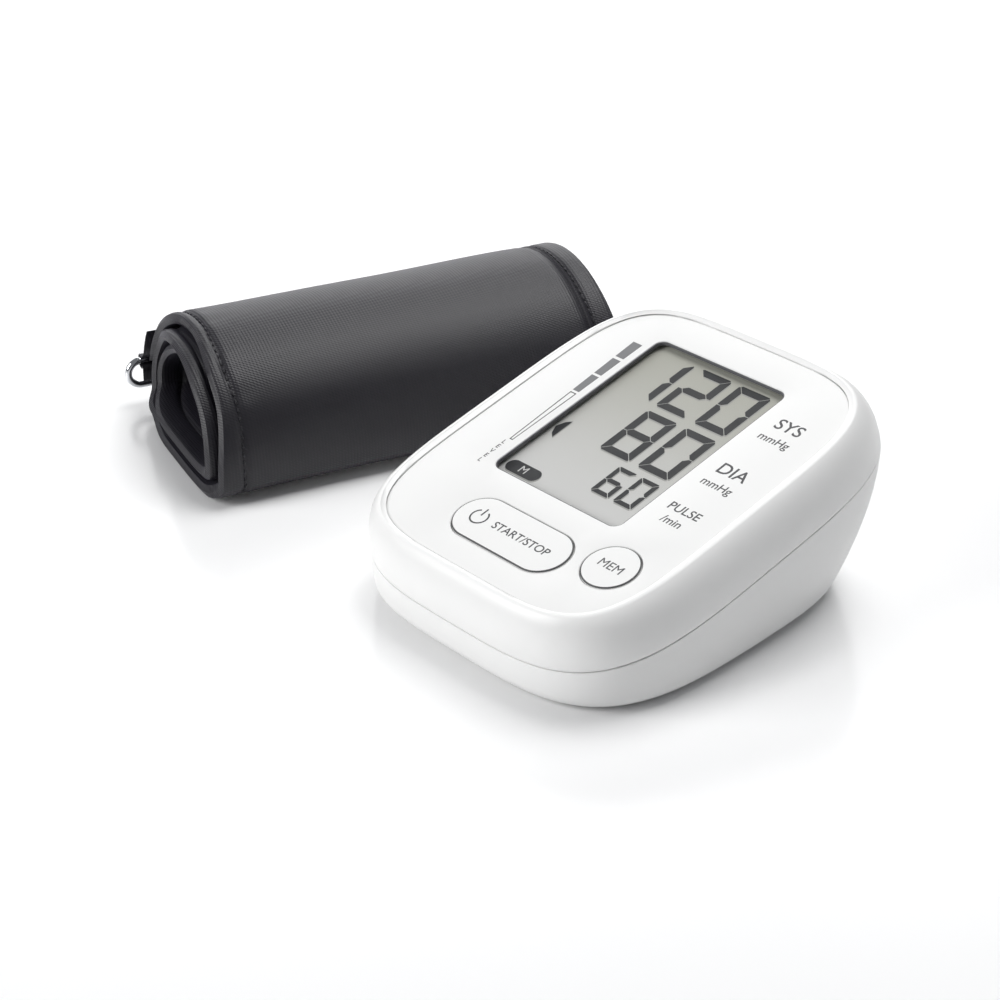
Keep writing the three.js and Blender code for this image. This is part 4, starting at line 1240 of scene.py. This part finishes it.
def roll_point(turns, depth):
    """A point of the rolled section: turns from the sleeve's outer end, depth in through the sleeve."""
    cuff = settings("cuff")
    pitch = cuff.thickness + cuff.space

    def outside(degrees):
        return (ROLL_START - degrees) / 360 * pitch

    angle = math.radians(ROLL_START - 360 * turns)
    inwards = pitch * turns + depth
    height = cuff.height + outside(90) + outside(-90) - 2 * inwards
    half = (cuff.width + outside(0)) / 2 - inwards
    level = inwards - outside(-90) + height * LOW_SHARE
    c, s = math.cos(angle), math.sin(angle)
    if s >= 0:
        return half * c, level + height * (1 - LOW_SHARE) * s
    x = half * math.copysign(abs(c) ** (2 / LOW_POWER), c)
    return x, level - height * LOW_SHARE * abs(s) ** (2 / LOW_POWER)


def sleeve_ends(turns):
    """Where the sleeve's near and far edges lie along the roll: the loose roll has slid a little askew."""
    cuff = settings("cuff")
    half = cuff.length / 2
    for (start, first), (end, last) in zip(SLIDE, SLIDE[1:]):
        if turns <= end:
            break
    share = (turns - start) / (end - start)
    near_out = first + (last - first) * share * share * (3 - 2 * share)
    lift = min(max(roll_point(turns, 0)[1] / cuff.height, 0), 1)
    far_out = 4.5 - 3 * lift - 1.2 * turns
    return -half - near_out * MM, half + far_out * MM


def hem_line(turns):
    """How far the near seam lies in from the near edge."""
    lift = min(max(roll_point(turns, 0)[1] / settings("cuff").height, 0), 1)
    return (9.5 - 5 * lift**1.5) * MM


def padded_grid(bm, across, along):
    """A flat sheet with two sides from -1 to 1, and the height half way between its sides."""
    bmesh.ops.create_grid(bm, x_segments=across, y_segments=along, size=1)
    bmesh.ops.solidify(bm, geom=bm.faces[:], thickness=1)
    levels = [v.co.z for v in bm.verts]
    return (min(levels) + max(levels)) / 2


def lay_flat(bm, flat):
    """Stores where each vertex lies on the flat cloth, as the weave's coordinates."""
    layer = bm.loops.layers.uv.new("cloth")
    for face in bm.faces:
        for loop in face.loops:
            loop[layer].uv = flat[loop.vert]


def crease(distance, width):
    """A narrow dip that is deepest at distance 0."""
    return math.exp(-((distance / width) ** 2))


def make_sleeve():
    """The padded sleeve: a flat quilted strip with hems, rolled up into the spiral."""
    cuff = settings("cuff")
    bm = bmesh.new()
    mid = padded_grid(bm, 300, 96)
    steps = 2000
    line = [Vector(roll_point(ROLL_TURNS * i / steps, 0)) for i in range(steps + 1)]
    lengths = [0.0]
    for before, after in zip(line, line[1:]):
        lengths.append(lengths[-1] + (after - before).length)
    flat = {}
    edge = cuff.thickness * 0.5
    for vert in bm.verts:
        outer = vert.co.z > mid
        share_u = (vert.co.x + 1) / 2
        share_v = (vert.co.y + 1) / 2
        share_v -= 0.3 * math.sin(math.tau * share_v) / math.tau
        turns = ROLL_TURNS * share_u
        near, far = sleeve_ends(turns)
        y = near + (far - near) * share_v
        from_near, from_far = y - near, far - y
        arc = lengths[int(share_u * steps)]
        flat[vert] = (arc, y)
        from_end = min(arc, lengths[-1] - arc)
        # The edges are pillow-shaped, and the pad thins where the seams hold it down.
        rim = min(from_near, from_far, from_end, edge) / edge
        half = cuff.thickness / 2 * math.sqrt(max(1 - (1 - rim) ** 2, 0))
        seam = max(
            crease(from_near - hem_line(turns), 1.0 * MM),
            crease(from_far - cuff.far_hem, 0.9 * MM),
            crease(from_far - cuff.far_hem + HEM_ROWS, 0.8 * MM) * 0.9,
            crease(from_end - 9 * MM, 1.0 * MM) * 0.7,
        )
        half *= 1 - SEAM_DEPTH * seam
        close = max(
            crease(from_near - hem_line(turns) - 2.5 * MM, 5 * MM),
            crease(from_far - cuff.far_hem - 2 * MM, 5 * MM),
        )
        spot = Vector((arc / (5.5 * MM), y / (14 * MM), 0 if outer else 7))
        pucker = noise.noise(spot) * 0.28 * MM * close
        inland = min(from_near, from_far, BROAD_EDGE) / BROAD_EDGE
        broad = noise.noise(Vector((arc / 0.045, y / 0.05, 3.7))) * 0.5 * MM * inland
        depth = cuff.thickness / 2 - broad
        depth += -half - pucker if outer else half + pucker * INNER_PUCKER
        x, z = roll_point(turns, depth)
        vert.co = (x, y, max(z, 0.05 * MM))
    lay_flat(bm, flat)
    bmesh.ops.remove_doubles(bm, verts=bm.verts, dist=0.01 * MM)
    made = as_object(bm, "cuff_sleeve_cloth", [finish("cuff_nylon")], cuff_matrix())
    return attach(
        made,
        "cuff",
        "cuff_nylon",
        "cuff_sleeve",
        "cuff_binding_near",
        "cuff_binding_far",
    )


def make_strip(name, first, last, depth, thickness, low, high, body, slot, *nodes):
    """A thin strip laid along the rolled sheet, with rounded long edges."""
    bm = bmesh.new()
    mid = padded_grid(bm, 90, 40)
    for vert in bm.verts:
        turns = first + (last - first) * (vert.co.x + 1) / 2
        y = low + (high - low) * (vert.co.y + 1) / 2
        edge = min(1 - abs(vert.co.y), 0.03) / 0.03
        half = thickness / 2 * (0.35 + 0.65 * math.sqrt(max(1 - (1 - edge) ** 2, 0)))
        x, z = roll_point(turns, depth + thickness / 2 + (-half if vert.co.z > mid else half))
        vert.co = (x, y, z)
    made = as_object(bm, name, [finish(slot)], cuff_matrix())
    return attach(made, body, slot, *nodes)


def make_cuff_layers():
    """The bladder inside the sleeve and the hook patch between its layers."""
    cuff = settings("cuff")
    inner = cuff.length / 2 - 9.3 * MM
    make_strip(
        "bladder", 0.28, 1.4, 1.3 * MM, 1.8 * MM, -inner, inner, "cuff", "bladder_rubber", "cuff_bladder"
    )
    deep = cuff.thickness + (cuff.space - 0.5 * MM) / 2
    inner = cuff.length / 2 - 12.3 * MM
    make_strip(
        "hook_patch", 0.75, 1.1, deep, 0.5 * MM, -inner, inner, "cuff", "cuff_tape", "cuff_hook_patch"
    )


def make_tunnel():
    """The gathered loop of cloth that is sewn to the sleeve's end and holds the ring's upper leg."""
    cuff = settings("cuff")
    leg = Vector((-cuff.width / 2 - RING_STANDOFF, RING_LEVEL + RING_HALF_HEIGHT))
    radius = cuff.wire + 0.95 * MM
    path = [Vector(roll_point(t, -0.75 * MM)) for t in (0.055, 0.04, 0.025, 0.012)]
    path += [
        leg + radius * Vector((math.cos(math.radians(d)), math.sin(math.radians(d))))
        for d in range(60, 345, 15)
    ]
    path += [Vector(roll_point(t, -0.6 * MM)) for t in (-0.03, -0.018)]
    half = cuff.length / 2 - 1 * MM
    bm = bmesh.new()
    bmesh.ops.create_grid(bm, x_segments=len(path) - 1, y_segments=260, size=1)
    flat = {}
    for vert in bm.verts:
        index = round((vert.co.x + 1) / 2 * (len(path) - 1))
        y = half * vert.co.y
        before = path[max(index - 1, 0)]
        after = path[min(index + 1, len(path) - 1)]
        tangent = (after - before).normalized()
        out = Vector((-tangent.y, tangent.x))
        free = math.sin(math.pi * index / (len(path) - 1))
        gather = 0.4 + 0.9 * abs(vert.co.y) ** 6
        fold = math.sin(y / (1.1 * MM) + 2 * noise.noise(Vector((y / 0.006, 0, 4)))) * 0.3 * MM * gather
        fold += noise.noise(Vector((y / (11 * MM), index * 0.05, 8.1))) * 0.4 * MM
        spot = path[index] - out * max(fold, -0.15 * MM) * free
        flat[vert] = (index * 0.8 * MM, y)
        vert.co = (spot.x, y, spot.y)
    lay_flat(bm, flat)
    bmesh.ops.solidify(bm, geom=bm.faces[:], thickness=0.7 * MM)
    made = as_object(bm, "ring_loop", [finish("cuff_nylon")], cuff_matrix())
    return attach(made, "cuff", "cuff_nylon", "d_ring_tunnel")


def make_stitching():
    """Rows of stitches that lie in the seams of the outer turn."""
    cuff = settings("cuff")
    bm = bmesh.new()
    steps = 1400
    last = 1.0
    rows = (
        lambda near, far, turns: near + hem_line(turns),
        lambda near, far, turns: far - cuff.far_hem + HEM_ROWS,
    )
    for at in rows:
        travelled = 0.0
        before = None
        target = cuff.stitch
        for i in range(steps + 1):
            turns = 0.02 + last * i / steps
            near, far = sleeve_ends(turns)
            x, z = roll_point(turns, 0.55 * MM)
            point = Vector((x, at(near, far, turns), z))
            if before is not None:
                travelled += (point - before).length
            if travelled >= target:
                direction = (point - before).normalized()
                nx, nz = roll_point(turns, 0)
                out = (Vector((nx, point.y, nz)) - point).normalized()
                side = direction.cross(out).normalized()
                turn = Matrix((direction, side, out)).transposed().to_4x4()
                size = Matrix.Diagonal((cuff.stitch * 0.42, 0.34 * MM, 0.3 * MM, 1))
                place = Matrix.Translation(point) @ turn @ size
                bmesh.ops.create_uvsphere(bm, u_segments=8, v_segments=5, radius=1, matrix=place)
                target += cuff.stitch * 1.25
            before = point
    made = as_object(bm, "cuff_stitching", [finish("thread")], cuff_matrix())
    return attach(made, "cuff", "cuff_tape")


def make_ring():
    """The chrome wire ring: two half circles joined by straight legs."""
    cuff = settings("cuff")
    x = -cuff.width / 2 - RING_STANDOFF
    radius = RING_HALF_HEIGHT
    shift = cuff.length / 2 + RING_REACH - radius - cuff.wire
    sections = []
    steps = 28
    for end in (1, -1):
        for i in range(steps + 1):
            angle = -math.pi / 2 + math.pi * i / steps
            out = Vector((0, math.cos(angle) * end, math.sin(angle) * end))
            centre = Vector((x, end * shift, RING_LEVEL)) + out * radius
            sections.append((centre, out))
    rings = []
    for centre, out in sections + sections[:1]:
        rings.append(
            [
                centre
                + cuff.wire
                * (out * math.cos(math.tau * k / 20) + Vector((1, 0, 0)) * math.sin(math.tau * k / 20))
                for k in range(20)
            ]
        )
    bm = bmesh.new()
    loft(bm, rings, capped=False)
    made = as_object(bm, "ring_wire", [finish("chrome")], cuff_matrix())
    return attach(made, "ring", "chrome", "d_ring")


# ---- Underside, sockets and inner parts ----
def make_feet():
    """Four moulded rubber feet with a round edge and a shallow dish."""
    for spot in SPOTS:
        low, high = (Vector(corner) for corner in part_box("foot_" + spot))
        middle_x, middle_y = (low.x + high.x) / 2, (low.y + high.y) / 2
        radius = (high.x - low.x) / 2
        bm = bmesh.new()
        profile = (
            (radius * 0.6, low.z + 0.25 * MM),
            (radius * 0.72, low.z + 0.04 * MM),
            (radius * 0.8, low.z),
            (radius * 0.9, low.z + 0.05 * MM),
            (radius * 0.97, low.z + 0.2 * MM),
            (radius, low.z + 0.45 * MM),
            (radius, high.z),
        )
        turned(bm, profile, Matrix.Translation((middle_x, middle_y, 0)))
        attach(as_object(bm, "foot_pad_" + spot, [finish("rubber")]), "monitor", "rubber", "foot_" + spot)


def make_screws():
    """Four plated screws: pan heads with a cross recess, and threaded shanks."""
    for spot in SPOTS:
        low, high = (Vector(corner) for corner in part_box("case_screw_" + spot))
        place = Matrix.Translation(((low.x + high.x) / 2, (low.y + high.y) / 2, 0))
        head, seat = 2.4 * MM, low.z + 1.5 * MM
        profile = [
            (head * 0.55, low.z),
            (head * 0.8, low.z + 0.12 * MM),
            (head * 0.95, low.z + 0.45 * MM),
            (head, low.z + 0.8 * MM),
            (head, seat),
            (0.95 * MM, seat + 0.05 * MM),
        ]
        along = seat + 0.4 * MM
        while along < high.z - 0.9 * MM:
            profile += [(0.9 * MM, along), (1.1 * MM, along + 0.35 * MM), (0.9 * MM, along + 0.7 * MM)]
            along += 0.8 * MM
        profile += [(0.8 * MM, high.z - 0.15 * MM), (0.5 * MM, high.z)]
        bm = bmesh.new()
        turned(bm, profile, place, sides=28)
        made = as_object(bm, "screw_" + spot, [finish("steel")])
        for half_x, half_y in ((1.35 * MM, 0.28 * MM), (0.28 * MM, 1.35 * MM)):
            bm = bmesh.new()
            block(bm, (-half_x, -half_y, low.z - 1 * MM), (half_x, half_y, low.z + 0.8 * MM))
            made = combined(made, as_object(bm, "recess", [finish("steel")], place), "DIFFERENCE")
        attach(made, "monitor", "steel", "case_screw_" + spot)


def make_battery_cover():
    """The battery cover: a rounded panel with grip ribs and a moulded arrow at its latch end."""
    low, high = (Vector(corner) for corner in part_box("battery_cover"))
    bm = bmesh.new()
    block(bm, low, high)
    rounded_off(bm, 0.45 * MM)
    cover = as_object(bm, "battery_lid", [finish("case_white")])
    middle_x = (low.x + high.x) / 2
    bm = bmesh.new()
    for number in range(6):
        y = high.y - (5 + 1.8 * number) * MM
        block(
            bm,
            (middle_x - 11 * MM, y - 0.4 * MM, low.z - 1 * MM),
            (middle_x + 11 * MM, y + 0.4 * MM, low.z + 0.5 * MM),
        )
    corners = ((-3, 19.5), (3, 19.5), (0, 16.5))
    stamp(bm, [(middle_x + x * MM, high.y - y * MM) for x, y in corners], low.z - 1 * MM, low.z + 0.4 * MM)
    cover = combined(cover, as_object(bm, "grips", [finish("case_white")]), "DIFFERENCE")
    return attach(cover, "battery_door", "case_white", "battery_cover")


def make_sockets():
    """The monitor's air socket and the cuff's hose nipple, both turned parts with an open bore."""
    low, high = (Vector(corner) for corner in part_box("air_socket"))
    start = Vector((low.x, (low.y + high.y) / 2, (low.z + high.z) / 2))
    flange = (high.y - low.y) / 2
    body, bore, seat = flange - 2 * MM, 3.25 * MM, 4.4 * MM
    profile = (
        (bore, 7 * MM),
        (bore, 0.4 * MM),
        (bore + 0.35 * MM, 0),
        (body - 0.4 * MM, 0),
        (body, 0.4 * MM),
        (body, seat),
        (flange - 0.2 * MM, seat),
        (flange, seat + 0.2 * MM),
        (flange, seat + 1 * MM),
        (flange - 0.2 * MM, seat + 1.2 * MM),
        (body, seat + 1.2 * MM),
        (body, high.x - low.x - 0.3 * MM),
        (body - 0.3 * MM, high.x - low.x),
    )
    bm = bmesh.new()
    turned(bm, profile, Matrix.Translation(start) @ Matrix.Rotation(math.pi / 2, 4, "Y"))
    made = as_object(bm, "air_inlet", [finish("light_plastic")])
    attach(made, "monitor", "light_plastic", "air_socket")

    spot = cuff_matrix().inverted() @ middle("cuff_air_port")
    base = settings("cuff").length / 2 + GAP
    profile = (
        (1 * MM, 1.6 * MM),
        (1 * MM, 8.8 * MM),
        (1.2 * MM, 9 * MM),
        (1.6 * MM, 9 * MM),
        (2 * MM, 7.6 * MM),
        (1.7 * MM, 7.5 * MM),
        (2 * MM, 6.2 * MM),
        (1.7 * MM, 6.1 * MM),
        (2 * MM, 4.8 * MM),
        (1.8 * MM, 4.7 * MM),
        (1.8 * MM, 2.4 * MM),
        (2.3 * MM, 1.6 * MM),
        (4.6 * MM, 1.6 * MM),
        (5 * MM, 1.2 * MM),
        (5 * MM, 0),
    )
    place = Matrix.Translation((spot.x, base, spot.z)) @ Matrix.Rotation(-math.pi / 2, 4, "X")
    bm = bmesh.new()
    turned(bm, profile, place)
    made = as_object(bm, "hose_nipple", [finish("dark_plastic")], cuff_matrix())
    return attach(made, "cuff", "dark_plastic", "cuff_air_port")


# ---- Carried-over parts ----


def finish_frame():
    """Gives every CAD node that still shows the finish of its record slot."""
    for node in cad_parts.values():
        for number, material in enumerate(node.data.materials):
            node.data.materials[number] = finish(material.name.split(".")[0])


# ---- Stage ----


def make_stage():
    """A white table, soft lights and the camera."""
    scene = bpy.context.scene
    bm = bmesh.new()
    bmesh.ops.create_grid(bm, x_segments=1, y_segments=1, size=4)
    floor = as_object(bm, "table", [finish("floor")])
    world = bpy.data.worlds.new("studio")
    scene.world = world
    world.use_nodes = True
    world.node_tree.nodes["Background"].inputs["Color"].default_value = (*linear("#F2F4F8"), 1)
    world.node_tree.nodes["Background"].inputs["Strength"].default_value = 0.2
    lights = (
        ("overhead", (0.05, 0.55, 1.4), (0.0, 0.0, 0), 0.9, 15),
        ("key", (-0.65, -1.45, 0.8), (0.05, 0, 0.03), 1.0, 20),
        ("back", (-1.5, 1.3, 0.85), (-0.1, 0.02, 0.03), 1.5, 14),
    )
    for name, spot, aim, size, power in lights:
        lamp = bpy.data.lights.new(name, "AREA")
        lamp.shape = "SQUARE"
        lamp.size = size
        lamp.energy = power
        made = bpy.data.objects.new(name, lamp)
        made.location = spot
        made.rotation_euler = (Vector(aim) - Vector(spot)).to_track_quat("-Z", "Y").to_euler()
        scene.collection.objects.link(made)
    lens = bpy.data.cameras.new("camera")
    lens.lens = 84.6
    lens.sensor_width = 36
    lens.clip_start = 0.05
    camera = bpy.data.objects.new("camera", lens)
    camera.location = face_matrix().translation + Vector((0.4516496, -0.4559948, 0.3323241))
    look = Vector((-0.652027, 0.588660, -0.477850))
    camera.rotation_euler = look.to_track_quat("-Z", "Y").to_euler()
    scene.collection.objects.link(camera)
    scene.camera = camera
    scene.view_settings.view_transform = "Standard"


# ---- Operators ----


class MONITOR_OT_carried_parts(bpy.types.Operator):
    """Finish the CAD parts that stay."""

    bl_idname = "monitor.carried_parts"
    bl_label = "Carried parts"

    def execute(self, context):
        finish_frame()
        return {"FINISHED"}


class MONITOR_OT_upper_shell(bpy.types.Operator):
    """Build the upper shell."""

    bl_idname = "monitor.upper_shell"
    bl_label = "Upper shell"

    def execute(self, context):
        make_upper_shell()
        return {"FINISHED"}


class MONITOR_OT_lower_shell(bpy.types.Operator):
    """Build the lower shell."""

    bl_idname = "monitor.lower_shell"
    bl_label = "Lower shell"

    def execute(self, context):
        make_lower_shell()
        return {"FINISHED"}


class MONITOR_OT_face_plate(bpy.types.Operator):
    """Build the face plate."""

    bl_idname = "monitor.face_plate"
    bl_label = "Face plate"

    def execute(self, context):
        make_face_plate()
        return {"FINISHED"}


class MONITOR_OT_buttons(bpy.types.Operator):
    """Build the two buttons."""

    bl_idname = "monitor.buttons"
    bl_label = "Buttons"

    def execute(self, context):
        make_buttons()
        return {"FINISHED"}


class MONITOR_OT_face_print(bpy.types.Operator):
    """Build the marks on the face."""

    bl_idname = "monitor.face_print"
    bl_label = "Face print"

    def execute(self, context):
        make_face_print()
        return {"FINISHED"}


class MONITOR_OT_display(bpy.types.Operator):
    """Build the display."""

    bl_idname = "monitor.display"
    bl_label = "Display"

    def execute(self, context):
        make_display()
        return {"FINISHED"}


class MONITOR_OT_sleeve(bpy.types.Operator):
    """Build the rolled sleeve."""

    bl_idname = "monitor.sleeve"
    bl_label = "Cuff sleeve"

    def execute(self, context):
        make_sleeve()
        return {"FINISHED"}


class MONITOR_OT_stitching(bpy.types.Operator):
    """Build the sleeve's stitches."""

    bl_idname = "monitor.stitching"
    bl_label = "Stitching"

    def execute(self, context):
        make_stitching()
        return {"FINISHED"}


class MONITOR_OT_feet(bpy.types.Operator):
    """Build the four rubber feet."""

    bl_idname = "monitor.feet"
    bl_label = "Feet"

    def execute(self, context):
        make_feet()
        return {"FINISHED"}


class MONITOR_OT_screws(bpy.types.Operator):
    """Build the four case screws."""

    bl_idname = "monitor.screws"
    bl_label = "Screws"

    def execute(self, context):
        make_screws()
        return {"FINISHED"}


class MONITOR_OT_battery_lid(bpy.types.Operator):
    """Build the battery cover."""

    bl_idname = "monitor.battery_lid"
    bl_label = "Battery cover"

    def execute(self, context):
        make_battery_cover()
        return {"FINISHED"}


class MONITOR_OT_sockets(bpy.types.Operator):
    """Build the air socket and the cuff's nipple."""

    bl_idname = "monitor.sockets"
    bl_label = "Sockets"

    def execute(self, context):
        make_sockets()
        return {"FINISHED"}


class MONITOR_OT_cuff_layers(bpy.types.Operator):
    """Build the bladder and the hook patch."""

    bl_idname = "monitor.cuff_layers"
    bl_label = "Cuff layers"

    def execute(self, context):
        make_cuff_layers()
        return {"FINISHED"}


class MONITOR_OT_ring_loop(bpy.types.Operator):
    """Build the cloth loop that holds the ring."""

    bl_idname = "monitor.ring_loop"
    bl_label = "Ring loop"

    def execute(self, context):
        make_tunnel()
        return {"FINISHED"}


class MONITOR_OT_ring(bpy.types.Operator):
    """Build the wire ring."""

    bl_idname = "monitor.ring"
    bl_label = "Ring"

    def execute(self, context):
        make_ring()
        return {"FINISHED"}


class MONITOR_OT_stage(bpy.types.Operator):
    """Build the table, lights and camera."""

    bl_idname = "monitor.stage"
    bl_label = "Stage"

    def execute(self, context):
        make_stage()
        return {"FINISHED"}


OPERATORS = (
    MONITOR_OT_carried_parts,
    MONITOR_OT_upper_shell,
    MONITOR_OT_lower_shell,
    MONITOR_OT_face_plate,
    MONITOR_OT_buttons,
    MONITOR_OT_face_print,
    MONITOR_OT_display,
    MONITOR_OT_sleeve,
    MONITOR_OT_stitching,
    MONITOR_OT_feet,
    MONITOR_OT_screws,
    MONITOR_OT_battery_lid,
    MONITOR_OT_sockets,
    MONITOR_OT_cuff_layers,
    MONITOR_OT_ring_loop,
    MONITOR_OT_ring,
    MONITOR_OT_stage,
)


class MONITOR_PT_panel(bpy.types.Panel):
    """Lists the pieces."""

    bl_idname = "MONITOR_PT_panel"
    bl_label = "Blood pressure monitor"
    bl_space_type = "VIEW_3D"
    bl_region_type = "UI"
    bl_category = "Monitor"

    def draw(self, context):
        for kind in OPERATORS:
            self.layout.operator(kind.bl_idname)


GROUPS = {"case": CaseSizes, "face": FaceSizes, "cuff": CuffSizes, "colours": FinishColours}


def register():
    for name, group in GROUPS.items():
        bpy.utils.register_class(group)
        setattr(bpy.types.Scene, "monitor_" + name, bpy.props.PointerProperty(type=group))
    for kind in (*OPERATORS, MONITOR_PT_panel):
        bpy.utils.register_class(kind)


def unregister():
    for kind in (MONITOR_PT_panel, *reversed(OPERATORS)):
        bpy.utils.unregister_class(kind)
    for name, group in GROUPS.items():
        delattr(bpy.types.Scene, "monitor_" + name)
        bpy.utils.unregister_class(group)


def main():
    register()
    for kind in OPERATORS:
        group, name = kind.bl_idname.split(".")
        getattr(getattr(bpy.ops, group), name)()


if __name__ == "__main__":
    main()
